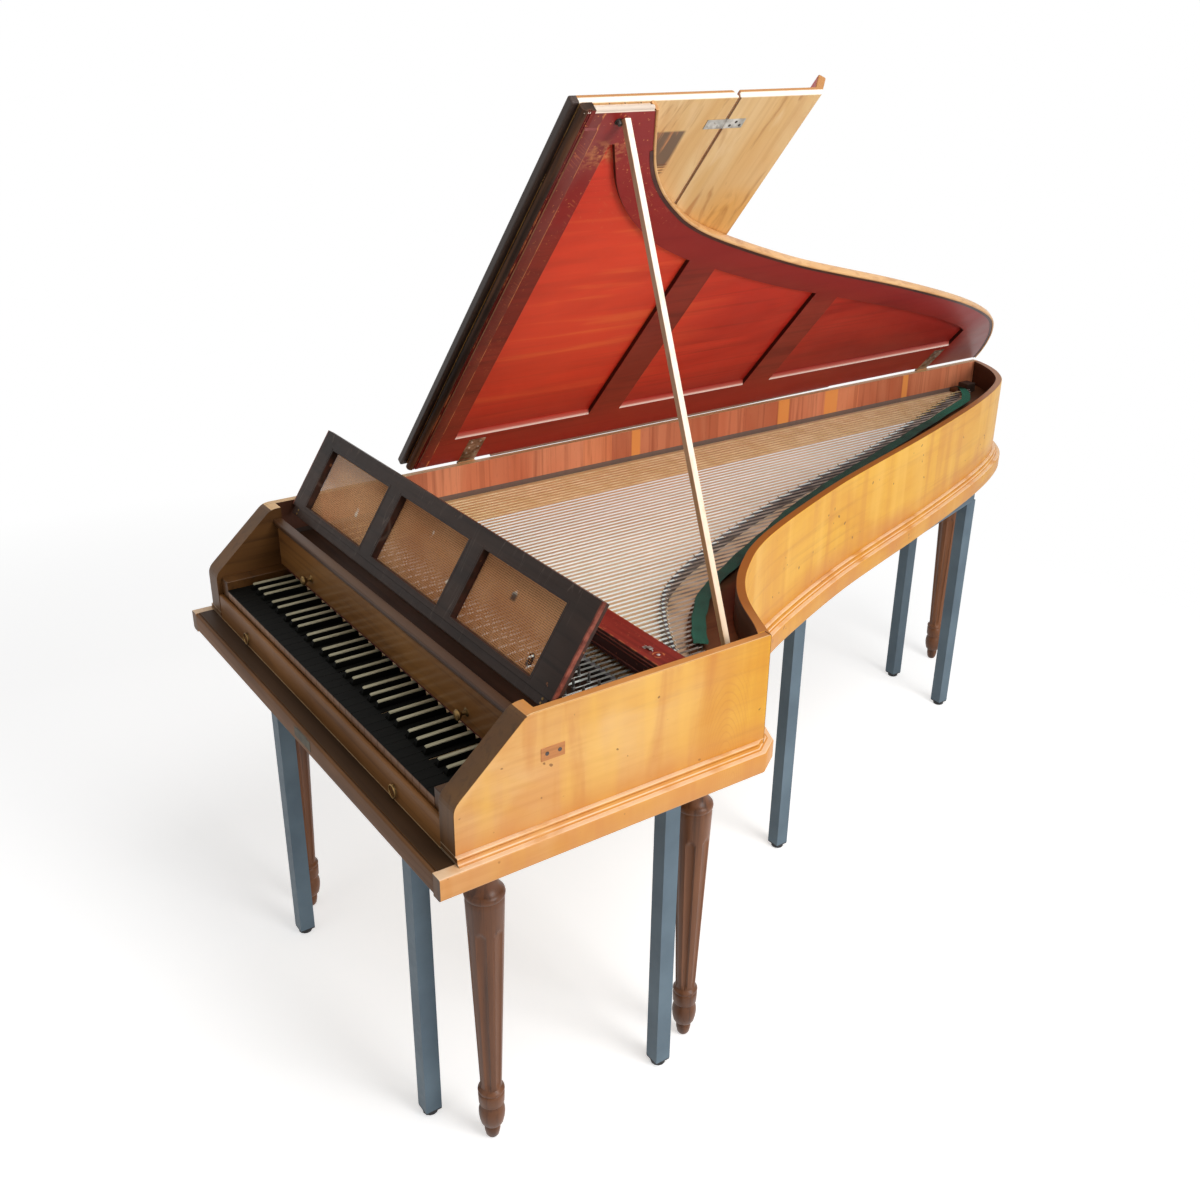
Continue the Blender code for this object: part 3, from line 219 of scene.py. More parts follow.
# %% Shape
class Shape:
    """A mesh that grows by adding forms, in the coordinates of one place."""

    def __init__(self, place=DESIGN):
        self.place = place
        self.mesh = bmesh.new()

    def corners(self, points):
        return [self.mesh.verts.new(self.place @ Vector(point)) for point in points]

    def rows(self, rows, closed=False, capped=False, ring=False):
        """Faces between rows of points. closed joins a row's ends, capped fills the first and last row."""
        made = [self.corners(row) for row in rows]
        count = len(made[0])
        for first, second in zip(made, made[1:] + made[:1] if ring else made[1:]):
            for i in range(count if closed else count - 1):
                j = (i + 1) % count
                self.mesh.faces.new((first[i], first[j], second[j], second[i]))
        if capped:
            self.mesh.faces.new(made[0])
            self.mesh.faces.new(made[-1])
        return self

    def slab(self, plan, low, high, axis="Z"):
        """A plate with this outline, from low to high along an axis."""
        order = {"X": lambda h, a, b: (h, a, b), "Y": lambda h, a, b: (a, h, b), "Z": lambda h, a, b: (a, b, h)}
        rows = [[order[axis](height, a, b) for a, b in plan] for height in (low, high)]
        return self.rows(rows, closed=True, capped=True)

    def box(self, x, y, z):
        plan = [(x[0], y[0]), (x[1], y[0]), (x[1], y[1]), (x[0], y[1])]
        return self.slab(plan, *z)

    def moulding(self, path, profile, height=lambda out, z: z):
        """A closed profile of (out, z) swept along a path in the plan."""
        tracks = [[(x, y, z) for x, y in moved(path, out)] for out, z in profile]
        return self.rows(list(zip(*tracks)), closed=True, capped=True)

    def tube(self, path, radius, sides=8):
        path = [Vector(point) for point in path]
        side = None
        rows = []
        for i, point in enumerate(path):
            along = (path[min(i + 1, len(path) - 1)] - path[max(i - 1, 0)]).normalized()
            side = along.orthogonal() if side is None else side - along * side.dot(along)
            side.normalize()
            other = along.cross(side)
            turns = [math.tau * k / sides for k in range(sides)]
            rows.append([point + radius * (side * math.cos(t) + other * math.sin(t)) for t in turns])
        return self.rows(rows, closed=True, capped=True)

    def turned(self, profile, foot, along=(0, 0, 1), steps=20):
        """A lathe shape from (radius, height) pairs, its foot at a point."""
        along = Vector(along).normalized()
        side = along.orthogonal().normalized()
        other = along.cross(side)
        turns = [math.tau * k / steps for k in range(steps)]
        rows = [
            [Vector(foot) + along * h + r * (side * math.cos(t) + other * math.sin(t)) for t in turns]
            for r, h in profile
        ]
        return self.rows(rows, closed=True, capped=True)

    def ring(self, centre, radius, wire, along, steps=32, sides=10):
        along = Vector(along).normalized()
        side = along.orthogonal().normalized()
        other = along.cross(side)
        rows = []
        for k in range(steps):
            out = side * math.cos(math.tau * k / steps) + other * math.sin(math.tau * k / steps)
            turns = [math.tau * j / sides for j in range(sides)]
            rows.append(
                [Vector(centre) + out * (radius + wire * math.cos(t)) + along * wire * math.sin(t) for t in turns]
            )
        return self.rows(rows, closed=True, ring=True)


def add_bevel(piece, width, segments=2):
    bevel = piece.modifiers.new("rounded_edges", "BEVEL")
    bevel.width = width
    bevel.segments = segments
    bevel.limit_method = "ANGLE"
    bevel.angle_limit = math.radians(32)
    bevel.harden_normals = True


def show(name, shape, look, body="case", replaces=(), bevel=0.0, segments=2):
    """Turns a shape into an object with a material, on a body, in place of some nodes."""
    bmesh.ops.recalc_face_normals(shape.mesh, faces=shape.mesh.faces)
    mesh = bpy.data.meshes.new(name)
    shape.mesh.to_mesh(mesh)
    shape.mesh.free()
    mesh.shade_smooth()
    mesh.set_sharp_from_angle(angle=math.radians(35))
    mesh.materials.append(look)
    piece = bpy.data.objects.new(name, mesh)
    bpy.context.scene.collection.objects.link(piece)
    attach(piece, body)
    if replaces:
        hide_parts(*replaces)
    if bevel:
        add_bevel(piece, bevel, segments)
    print(f"{name}: {len(mesh.polygons)} faces")
    return piece


# %% [markdown]
# ## Formulas in shader nodes
#
# A small class wraps a shader socket so that formulas can be written with plain operators. Every
# material starts from the object's own texture coordinates, turned into the coordinates of its
# place. They move with the object, so the figure of the wood stays put when a lid or flap turns.


# %% Wires and materials
class Wire:
    """A shader socket that can be added, multiplied and compared like a number."""

    def __init__(self, made, socket):
        self.made = made
        self.socket = socket

    def math(self, operation, *values):
        return self.made.node("ShaderNodeMath", {"operation": operation}, dict(enumerate((self, *values))))

    def __add__(self, other):
        return self.math("ADD", other)

    def __mul__(self, other):
        return self.math("MULTIPLY", other)

    def __sub__(self, other):
        return self.math("SUBTRACT", other)

    def __rsub__(self, other):
        return (self * -1.0) + other

    def __gt__(self, other):
        return self.math("GREATER_THAN", other)

    def __lt__(self, other):
        return self.math("LESS_THAN", other)

    __radd__ = __add__
    __rmul__ = __mul__

    def stretch(self, low, high):
        """0 at low, 1 at high, a straight line between them, and never outside 0 and 1."""
        sockets = {"Value": self, "From Min": low, "From Max": high}
        return self.made.node("ShaderNodeMapRange", {"clamp": True}, sockets)

    def band(self, middle, half, soft):
        """1 within half of the middle, and 0 beyond a soft edge."""
        return (self - middle).math("ABSOLUTE").stretch(half + soft, half)


class Material:
    """A node material that ends in one Principled BSDF."""

    def __init__(self, name, place=DESIGN):
        self.material = bpy.data.materials.new(name)
        self.material.use_nodes = True
        self.nodes = self.material.node_tree.nodes
        self.shader = self.nodes["Principled BSDF"]
        back = place.inverted()
        source = self.nodes.new("ShaderNodeTexCoord").outputs
        turn = {"Rotation": back.to_euler()}
        shifted = {"Vector": Wire(self, source["Object"]), "Location": back.translation}
        self.position = self.node("ShaderNodeMapping", {"vector_type": "POINT"}, {**shifted, **turn})
        self.x, self.y, self.z = self.split(self.position)
        normal = {"Vector": Wire(self, source["Normal"]), **turn}
        self.nx, self.ny, self.nz = self.split(self.node("ShaderNodeMapping", {"vector_type": "VECTOR"}, normal))

    def node(self, kind, settings=None, sockets=None, output=0):
        made = self.nodes.new(kind)
        for key, value in (settings or {}).items():
            setattr(made, key, value)
        for key, value in (sockets or {}).items():
            self.feed(made.inputs[key], value)
        return Wire(self, made.outputs[output])

    def feed(self, socket, value):
        if isinstance(value, Wire):
            self.material.node_tree.links.new(value.socket, socket)
        else:
            socket.default_value = value

    def split(self, vector):
        parts = self.node("ShaderNodeSeparateXYZ", None, {"Vector": vector}).socket.node.outputs
        return [Wire(self, parts[axis]) for axis in "XYZ"]

    def mix(self, share, first, second):
        """The first colour, or the second where share is 1."""
        sockets = {0: share, 6: first, 7: second}
        return self.node("ShaderNodeMix", {"data_type": "RGBA"}, sockets, output=2)

    def noise(self, scale, detail=4.0, distortion=0.0, offset=0.0):
        """Noise between 0 and 1 over the position, with a scale for each axis."""
        sockets = {"Vector": self.position, "Scale": scale, "Location": (offset, offset, offset)}
        vector = self.node("ShaderNodeMapping", None, sockets)
        settings = {"Vector": vector, "Scale": 1.0, "Detail": detail, "Distortion": distortion}
        return self.node("ShaderNodeTexNoise", None, settings)

    def scratches(self, scale, amount=0.035, turn=0.0, offset=0.0):
        """Thin lines where a stretched noise passes its middle, kept only here and there."""
        sockets = {"Vector": self.position, "Rotation": (0, 0, turn), "Location": (offset, offset, 0)}
        vector = self.node("ShaderNodeMapping", None, sockets)
        scaled = self.node("ShaderNodeMapping", None, {"Vector": vector, "Scale": scale})
        lines = self.node("ShaderNodeTexNoise", None, {"Vector": scaled, "Scale": 1.0, "Detail": 0.0})
        places = self.noise(tuple(value * 0.3 + 4 for value in scale), detail=2.0, offset=offset + 3)
        return lines.band(0.5, amount / 3, amount) * places.stretch(0.56, 0.62)

    def finish(self, colour, roughness, height=None, depth=0.0, **values):
        """Feeds the shader and returns the material. depth is the bump's distance in metres."""
        self.feed(self.shader.inputs["Base Color"], colour)
        self.feed(self.shader.inputs["Roughness"], roughness)
        for key, value in values.items():
            self.feed(self.shader.inputs[key.replace("_", " ")], value)
        if height is not None:
            bump = self.node("ShaderNodeBump", None, {"Height": height, "Distance": depth, "Strength": 0.6})
            self.feed(self.shader.inputs["Normal"], bump)
        return self.material


def paint(red, green, blue):
    """A colour as a paint chart gives it, from 0 to 255, turned into the light that Blender counts."""
    chart = (value / 255 for value in (red, green, blue))
    light = [v / 12.92 if v <= 0.04045 else ((v + 0.055) / 1.055) ** 2.4 for v in chart]
    return (*light, 1.0)


print("material tools ready")

# %% [markdown]
# ## Wood
#
# Wood is three tones laid over each other: soft clouds of lighter and darker varnish, long streaks
# of grain along one axis, and small dark pores. The axis of the grain has the smallest scale. On a
# curved wall the grain is level all round, so only the height has a large scale there.

# %% Grain
GRAIN = {"x": (2.5, 85.0, 85.0), "y": (85.0, 2.5, 85.0), "z": (85.0, 85.0, 2.5), "level": (2.5, 2.5, 85.0)}
CLOUDS = {"x": (1.8, 7.0, 7.0), "y": (7.0, 1.8, 7.0), "z": (7.0, 7.0, 1.8), "level": (1.8, 1.8, 7.0)}
PORES = {"x": (30.0, 420.0, 420.0), "y": (420.0, 30.0, 420.0), "z": (420.0, 420.0, 30.0),
         "level": (30.0, 30.0, 420.0)}  # fmt: skip

HONEY = paint(170, 106, 54), paint(214, 158, 96), paint(228, 180, 122)
GOLD = paint(168, 100, 14), paint(212, 146, 20), paint(224, 166, 36)
FLAP = paint(186, 126, 66), paint(218, 170, 104), paint(232, 196, 142)
BROWN = paint(40, 23, 8), paint(72, 44, 18), paint(98, 64, 30)
SHADY = paint(62, 36, 18), paint(100, 66, 38), paint(126, 86, 52)
VENEER = paint(140, 66, 44), paint(204, 116, 80), paint(224, 146, 106)
RED = paint(118, 18, 14), paint(186, 38, 27), paint(216, 56, 38)
RED_FRAME = paint(74, 16, 14), paint(120, 31, 24), paint(146, 46, 34)
COVER = paint(72, 16, 14), paint(114, 32, 27), paint(140, 52, 42)
BLACKENED = paint(16, 11, 9), paint(38, 27, 22), paint(66, 50, 42)
WALNUT = paint(42, 22, 12), paint(88, 52, 30), paint(128, 80, 48)
LIME = paint(178, 142, 98), paint(206, 172, 126), paint(224, 194, 152)
SPRUCE = paint(184, 142, 104), paint(224, 190, 152), paint(238, 210, 176)
MAROON = paint(34, 18, 12), paint(66, 38, 24), paint(92, 56, 36)
# Near-black tones for the wrest plank: painted shade under the desk and the damper cover.
PLANK_SHADE = paint(24, 15, 10), paint(46, 30, 21), paint(66, 44, 30)


def grain(made, axis, tones, figure=1.0, offset=0.0):
    """The colour of the wood and the height of its streaks."""
    dark, middle, light = tones
    streaks = made.noise(GRAIN[axis], detail=6.0, distortion=0.5, offset=offset)
    clouds = made.noise(CLOUDS[axis], detail=3.0, distortion=1.2, offset=offset)
    pores = made.noise(PORES[axis], detail=2.0, offset=offset)
    body = made.mix(clouds.stretch(0.36, 0.66), middle, light)
    streaked = made.mix(streaks.stretch(0.50, 0.78) * (0.7 * figure), body, dark)
    return made.mix(pores.stretch(0.64, 0.80) * (0.4 * figure), streaked, dark), streaks


def wood(name, axis, tones, rough=0.40, coat=0.10, figure=1.0, place=DESIGN, gloss=0.3):
    made = Material(name, place)
    colour, streaks = grain(made, axis, tones, figure)
    worn = made.noise((9.0, 9.0, 9.0), detail=4.0, offset=5.0)
    shine = {"Coat_Weight": coat, "Coat_Roughness": 0.16, "Specular_IOR_Level": gloss}
    return made.finish(colour, worn * 0.2 + (rough - 0.1), streaks, 0.00012, **shine)


brown_x = wood("brown_x", "x", BROWN, gloss=0.2)
lime_x = wood("lime_x", "x", LIME, rough=0.6, coat=0.0)
lime_y = wood("lime_y", "y", LIME, rough=0.6, coat=0.0)
walnut_z = wood("walnut_z", "z", WALNUT, rough=0.42, coat=0.08, figure=1.3)
plank_shade_wood = wood("plank_shade_wood", "x", PLANK_SHADE, rough=0.6, coat=0.0, gloss=0.1)
blackened_x = wood("blackened_x", "x", BLACKENED, rough=0.5, coat=0.0, gloss=0.15)
print("plain woods ready")

# %% [markdown]
# The outside of the case is honey-coloured fruitwood under old varnish, with golden clouds, reddish
# marks that cross the grain and a few dark knocks. Inside the walls the colour is another: the
# shader looks at which way the surface faces and chooses. Faces turned to the front are painted a
# darker brown as shade, and thin pale lines on the plinth and along the rim's outer edge are painted
# highlights.


# %% Case woods
PLINTH_TOP = 0.668


def case_wood(name, axis, inward, inner):
    """Honey outside, and the inner tones where the surface faces inward."""
    made = Material(name)
    colour, streaks = grain(made, axis, HONEY, figure=0.4)
    pale_clouds = made.noise((3.5, 3.5, 5.0), detail=4.0, distortion=1.0, offset=44.0)
    colour = made.mix(pale_clouds.stretch(0.50, 0.66) * 0.5, colour, paint(240, 204, 148))
    colour = made.mix(pale_clouds.stretch(0.46, 0.34) * 0.4, colour, paint(206, 134, 66))
    gold, gold_streaks = grain(made, axis, GOLD, figure=0.5, offset=26.0)
    golden = made.noise((2.4, 2.4, 4.5), detail=3.0, distortion=1.2, offset=8.0).stretch(0.50, 0.68)
    colour = made.mix((golden * 0.6).math("MAXIMUM", made.y.stretch(0.10, 0.55) * 0.9), colour, gold)
    curl = made.noise((15.0, 15.0, 1.4), detail=3.0, distortion=0.4, offset=28.0)
    colour = made.mix(curl.stretch(0.52, 0.64) * 0.36, colour, paint(236, 186, 84))
    colour = made.mix(curl.stretch(0.46, 0.34) * 0.40, colour, paint(198, 126, 40))
    across, up = (made.y - 0.475) * 3.6, made.z - 0.640
    arches = (across * across + up * up).math("SQRT") + made.noise((14.0, 14.0, 9.0), detail=3.0, offset=51.0) * 0.03
    growth = (arches * 420.0).math("SINE").stretch(0.55, 1.0) * made.y.band(0.475, 0.030, 0.03)
    colour = made.mix(growth * made.z.stretch(0.835, 0.79) * 0.22, colour, paint(186, 110, 50))
    crossing = made.noise((16.0, 16.0, 2.0), detail=4.0, distortion=0.6, offset=2.0)
    where = made.noise((3.0, 3.0, 3.0), detail=1.0, offset=12.0)
    marks = crossing.stretch(0.60, 0.72) * where.stretch(0.50, 0.60)
    colour = made.mix(marks * 0.4, colour, paint(186, 104, 52))
    knocks = made.noise((60.0, 60.0, 60.0), detail=1.0, offset=4.0).stretch(0.745, 0.77)
    colour = made.mix(knocks * 0.7, colour, paint(98, 60, 32))
    low_edge = made.z.stretch(0.73, 0.69) * made.noise((6.0, 6.0, 6.0), detail=3.0).stretch(0.2, 0.6)
    colour = made.mix(low_edge * 0.7, colour, paint(200, 128, 60))
    shaded, shaded_streaks = grain(made, "z", BROWN, offset=30.0)
    # Faces turned to the front get a darker brown: painted shade.
    ends = made.ny.stretch(-0.30, -0.45)
    colour = made.mix(ends * 0.96, colour, shaded)
    top = made.nz.stretch(0.9, 0.95) * made.z.stretch(RIM_TOP - 0.004, RIM_TOP - 0.002)
    worn_top = made.mix(made.noise((5.0, 5.0, 5.0), detail=4.0, offset=33.0), paint(180, 108, 48), paint(226, 160, 90))
    if inner is VENEER:
        worn_top = made.mix(0.75, worn_top, paint(240, 202, 150))
    else:
        worn_top = made.mix(made.y.stretch(0.50, 0.60) * 0.9, worn_top, paint(134, 70, 26))
    colour = made.mix(top * 0.9, colour, worn_top)
    # A pale line along the rim's outer edge at the cheek: a painted highlight.
    outer_highlight_line = made.x.band(CASE_HALF - 0.0022, 0.0007, 0.0005) * made.y.stretch(0.56, 0.55) * top
    colour = made.mix(outer_highlight_line * 0.8, colour, paint(250, 214, 156))
    dark, dark_streaks = grain(made, "z" if inner is VENEER else axis, inner, offset=20.0)
    if inner is VENEER:
        leaf_tone = ((made.y * 13.0).math("FLOOR") * 12.9898).math("SINE").math("MULTIPLY", 437.5453).math("FRACT")
        dark = made.mix(leaf_tone.stretch(0.45, 0.95) * 0.5, dark, paint(144, 66, 42))
        dark = made.mix(leaf_tone.stretch(0.35, 0.05) * 0.4, dark, paint(214, 128, 76))
        for middle, half in ((1.437, 0.016), (1.596, 0.020), (1.862, 0.008), (0.99, 0.010)):
            dark = made.mix(made.y.band(middle, half, 0.004) * 0.8, dark, paint(236, 156, 78))
        foot = made.z.stretch(0.8040, 0.8032)
        dark = made.mix(foot * 0.92, dark, paint(104, 98, 92))
    beside_keys, key_streaks = grain(made, "y", BROWN, offset=17.0)
    if inner is VENEER:
        dark = made.mix(made.y.stretch(0.232, 0.226) * 0.9, dark, paint(34, 22, 14))
    dark = made.mix(made.y.stretch(0.145, 0.140), dark, beside_keys)
    # A noise that breaks up the pale lines further down, which are painted highlights.
    sheen_breaks = made.noise((12.0, 12.0, 12.0), detail=3.0, offset=14.0).stretch(0.30, 0.50)
    facing = (made.nx * inward[0] + made.ny * inward[1]).stretch(0.25, 0.45)
    colour = made.mix(facing, colour, dark)
    # Pale lines along the plinth's top edges: painted highlights.
    for line_z in (PLINTH_TOP - 0.0002, 0.6706, 0.6796):
        edge = made.z.band(line_z, 0.0004, 0.0005) * sheen_breaks
        colour = made.mix(edge * 0.55, colour, paint(248, 226, 194))
    if inner is VENEER:
        lines = made.x.band(0.0045 - CASE_HALF, 0.0004, 0.0003) + made.x.band(0.0045 - INNER - 0.009, 0.0004, 0.0003)
        colour = made.mix(lines * top * 0.8, colour, paint(70, 44, 28))
    worn = made.noise((8.0, 8.0, 8.0), detail=4.0, offset=6.0)
    shine = {"Coat_Weight": (1 - ends) * (1 - facing) * 0.12, "Coat_Roughness": 0.2, "Specular_IOR_Level": 0.25}
    return made.finish(colour, worn * 0.2 + 0.36, streaks, 0.0001, **shine)


spine_wood = case_wood("spine_wood", "level", (1, 0), VENEER)
cheek_wood = case_wood("cheek_wood", "level", (-1, 0), MAROON)
bentside_wood = case_wood("bentside_wood", "level", (-1, -1), MAROON)
print("case woods ready")

# %% [markdown]
# The lid is panelled. Its underside is stained red, with wear down to the pale wood where hands and the
# prop stick touch it. Painted light and shade lie over the stain: a pool of light in the middle of the
# first panel, shade towards the tail and the spine side and in the panels' walls, and sheen on the
# panels' slopes. Its outside and its curved edge are honey-coloured like the case.


# %% Lid woods
LID_LOW, LID_HIGH = -0.0035, 0.0125
PANEL_DEPTH = 0.009
PANEL_SLOPE = 0.010


def red_underside(made):
    """The red stain of the lid's underside and its wear, with painted light and shade laid over them."""
    colour, streaks = grain(made, "y", RED, figure=0.7)
    # A painted pool of light in the middle of the first panel, with brighter flames in it as painted sheen.
    middle = made.x.band(0.50, 0.14, 0.30) * made.y.band(0.64, 0.06, 0.36)
    glow = made.noise((30.0, 1.6, 10.0), detail=4.0, distortion=0.4, offset=3.0)
    colour = made.mix(middle * (glow * 0.5 + 0.6), colour, paint(238, 74, 46))
    bands = made.noise((11.0, 1.6, 8.0), detail=6.0, distortion=0.8, offset=41.0)
    colour = made.mix(bands.stretch(0.50, 0.72) * 0.28, colour, paint(140, 28, 22))
    flames = glow.stretch(0.56, 0.66) * middle
    colour = made.mix(flames * 0.6, colour, paint(242, 110, 58))
    # Painted shade: darker towards the tail and towards the spine side.
    tail = made.y.stretch(1.05, 1.70)
    colour = made.mix(tail * 0.6, colour, paint(112, 26, 26))
    spine_side = made.x.stretch(0.22, 0.10)
    colour = made.mix(spine_side * 0.4, colour, paint(136, 44, 34))
    framing, frame_streaks = grain(made, "y", RED_FRAME, figure=0.8, offset=13.0)
    beyond = (made.x * 2.5 + made.y * 0.87).stretch(2.10, 2.25)
    framing = made.mix(beyond * 0.6, framing, paint(152, 30, 32))
    framing = made.mix(made.x.stretch(0.14, 0.02) * 0.65, framing, paint(166, 38, 30))
    rail = made.y.stretch(0.470, 0.466)
    framing = made.mix(rail * 0.55, framing, paint(96, 40, 34))
    # A painted greyish-mauve sheen on the frame in front of the first panel, on its treble half.
    mauve_sheen = made.noise((4.0, 9.0, 4.0), detail=3.0, offset=6.0).stretch(0.40, 0.65)
    framing = made.mix(made.x.stretch(0.55, 0.90) * made.y.stretch(0.53, 0.49) * mauve_sheen * 0.5, framing, paint(150, 96, 92))
    sunk = made.z.stretch(LID_LOW + 0.002, LID_LOW + 0.006)
    colour = made.mix(1 - sunk, colour, framing)
    slope = made.nx.stretch(0.30, 0.45) * made.z.stretch(LID_LOW + 0.0001, LID_LOW + 0.0004)
    sheen = made.mix(made.z.stretch(LID_LOW + 0.0014, LID_LOW + 0.0040), paint(250, 226, 212), paint(204, 112, 96))
    colour = made.mix(slope * made.z.stretch(LID_LOW + 0.0088, LID_LOW + 0.0030) * 0.9, colour, sheen)
    grey = made.y.stretch(1.96, 2.05) * made.noise((5.0, 5.0, 5.0), detail=3.0).stretch(0.25, 0.6)
    colour = made.mix(grey * 0.75, colour, paint(156, 132, 130))
    near_top = made.x.band(0.876, 0.012, 0.022) * made.y.band(0.505, 0.016, 0.026)
    chipped = made.noise((110.0, 70.0, 90.0), detail=7.0, offset=1.0)
    patch = near_top * chipped.stretch(0.44, 0.62)
    colour = made.mix(patch * 0.75, colour, paint(226, 146, 90))
    specks = made.noise((140.0, 140.0, 140.0), detail=3.0, offset=2.0).stretch(0.66, 0.70)
    around = made.x.stretch(0.66, 0.84) + made.y.band(0.47, 0.02, 0.02) * 0.35
    colour = made.mix(specks * around.math("MINIMUM", 1.0) * 0.6, colour, paint(226, 140, 84))
    lines = made.scratches((7.0, 150.0, 20.0), amount=0.02, turn=0.9)
    colour = made.mix(lines * around.math("MINIMUM", 1.0) * 0.35, colour, paint(222, 130, 82))
    edge = made.y.band(0.4675, 0.0010, 0.0012) * made.noise((30.0, 30.0, 30.0), detail=4.0).stretch(0.40, 0.50)
    return made.mix(edge * 0.8, colour, paint(222, 142, 84)), streaks


def lid_wood(name):
    made = Material(name, LID)
    red, red_streaks = red_underside(made)
    honey, streaks = grain(made, "y", HONEY, offset=9.0)
    down = made.nz.stretch(-0.25, -0.45)
    colour = made.mix(down, honey, red)
    # The upright walls of the sunk panels are dark red-brown: painted shade.
    upright = made.nz.math("ABSOLUTE").stretch(0.45, 0.25)
    framed = made.x.stretch(0.960, 0.956) * made.y.stretch(0.47, 0.48) * made.y.stretch(2.10, 2.09)
    inside = framed * (made.z < LID_LOW + PANEL_DEPTH + 0.0002)
    colour = made.mix(upright * inside, colour, paint(54, 15, 13))
    worn = made.noise((8.0, 8.0, 8.0), detail=4.0, offset=6.0)
    shine = {"Coat_Weight": 0.10, "Coat_Roughness": 0.2, "Specular_IOR_Level": 0.22}
    return made.finish(colour, worn * 0.25 + 0.30, red_streaks, 0.0001, **shine)


def lid_front_wood(name):
    """The rail along the lid's front: a dark nose, then red mouldings."""
    made = Material(name, LID)
    red, streaks = red_underside(made)
    dark, dark_streaks = grain(made, "x", BLACKENED, offset=4.0)
    # Lighter brown streaks on the dark nose are painted highlights.
    dark = made.mix(made.noise((4.0, 90.0, 90.0), detail=3.0).stretch(0.48, 0.70) * 0.6, dark, paint(124, 82, 56))
    colour = made.mix(made.y.stretch(0.4365, 0.4355), red, dark)
    rubbed = made.noise((26.0, 60.0, 60.0), detail=4.0, offset=7.0).stretch(0.52, 0.62)
    colour = made.mix(rubbed * made.y.band(0.4385, 0.0016, 0.001) * 0.8, colour, paint(196, 122, 76))
    colour = made.mix(made.nx.stretch(0.6, 0.8), colour, dark)
    outside, outside_streaks = grain(made, "x", HONEY, figure=0.5, offset=9.0)
    colour = made.mix(made.nz.stretch(0.80, 0.95) * made.y.stretch(0.4335, 0.4345), colour, outside)
    return made.finish(colour, 0.58, streaks, 0.0001, Coat_Weight=0.0, Specular_IOR_Level=0.1)


def flap_wood(name):
    """Natural fruitwood on the outer face, red on the inner one, with a dark stain near the hinge and a painted
    highlight along the treble edge.
    """
    made = Material(name, LID)
    colour, streaks = grain(made, "x", FLAP, figure=0.5, offset=15.0)
    waves = made.noise((2.6, 9.0, 10.0), detail=6.0, distortion=2.6, offset=2.0)
    colour = made.mix(waves.stretch(0.52, 0.70) * 0.40, colour, paint(206, 146, 80))
    colour = made.mix(waves.stretch(0.42, 0.28) * 0.40, colour, paint(240, 212, 168))
    golden = made.noise((1.6, 3.2, 3.0), detail=3.0, distortion=0.8, offset=21.0).stretch(0.48, 0.66)
    low_part = made.x.stretch(0.92, 0.74)
    colour = made.mix(golden * low_part * 0.7, colour, paint(230, 164, 76))
    flames = made.noise((6.0, 26.0, 30.0), detail=4.0, distortion=1.5, offset=31.0)
    near_low = made.x.stretch(0.80, 0.70) * 0.12
    colour = made.mix((flames + near_low).stretch(0.60, 0.72) * 0.55, colour, paint(170, 104, 46))
    joint_y = joints["fall_flap_hinge"]["pos_m"][1] - SHIFT.y
    joint = made.y.band(joint_y, 0.0030, 0.0012) * made.nz.stretch(-0.2, -0.6)
    colour = made.mix(joint * 0.85, colour, paint(84, 42, 26))
    stain_noise = made.noise((9.0, 70.0, 20.0), detail=4.0, offset=3.0)
    stain = made.x.band(0.862, 0.036, 0.004) * made.y.stretch(0.660, 0.654)
    stain_tone = made.mix(stain_noise.stretch(0.50, 0.62), paint(98, 76, 62), paint(192, 128, 84))
    colour = made.mix(stain * 0.92, colour, stain_tone)
    bars = (made.x * 160.0).math("FRACT").band(0.5, 0.18, 0.1) * made.x.band(0.818, 0.012, 0.002)
    colour = made.mix(bars * made.y.stretch(0.660, 0.654) * 0.85, colour, paint(120, 76, 48))
    red, red_streaks = grain(made, "x", RED, offset=11.0)
    colour = made.mix(made.nz.stretch(0.25, 0.45), colour, red)
    # A painted highlight along the rounded treble edge: near-white, with brown at its top.
    treble_u = CASE_HALF - LID_AXIS_X
    edge = made.x.stretch(treble_u - 0.0030, treble_u - 0.0014)
    edge_highlight_tone = made.mix(made.z.stretch(0.0205, 0.0225), paint(252, 242, 228), paint(176, 118, 62))
    colour = made.mix(edge * 0.9, colour, edge_highlight_tone)
    nose = made.y.stretch(0.4290, 0.4280)
    dark, dark_streaks = grain(made, "x", BLACKENED, offset=5.0)
    colour = made.mix(nose, colour, dark)
    worn = made.noise((8.0, 8.0, 8.0), detail=4.0, offset=6.0)
    return made.finish(colour, worn * 0.2 + 0.38, streaks, 0.0001, Coat_Weight=0.05, Specular_IOR_Level=0.3)


lid_look = lid_wood("lid_wood")
lid_front_look = lid_front_wood("lid_front_wood")
flap_look = flap_wood("flap_wood")
lid_edge_look = wood("lid_edge_wood", "y", HONEY, coat=0.2, place=LID)
# The treble bar's near-white tones are a painted highlight.
lid_bar_highlight_tones = paint(96, 60, 36), paint(216, 196, 176), paint(240, 230, 220)
lid_bar_highlight_look = wood("lid_bar_highlight_wood", "y", lid_bar_highlight_tones, coat=0.2, figure=0.4, place=LID)
# Dark greyish brown for the strip along the lid's hinge edge: painted shade.
hinge_edge_shade_look = wood("hinge_edge_shade_wood", "y", (paint(70, 44, 34), paint(128, 92, 76), paint(158, 122, 100)), place=LID)
lid_shadow_look = wood("lid_shadow_wood", "y", (paint(28, 10, 8), paint(58, 26, 20), paint(84, 40, 30)), place=LID)
print("lid woods ready")

# %% [markdown]
# The soundboard shows its planks: each is a leaf of spruce with its own tone and straight, even
# grain. The cover over the dampers is red like the lid, with orange wood at its worn edges.


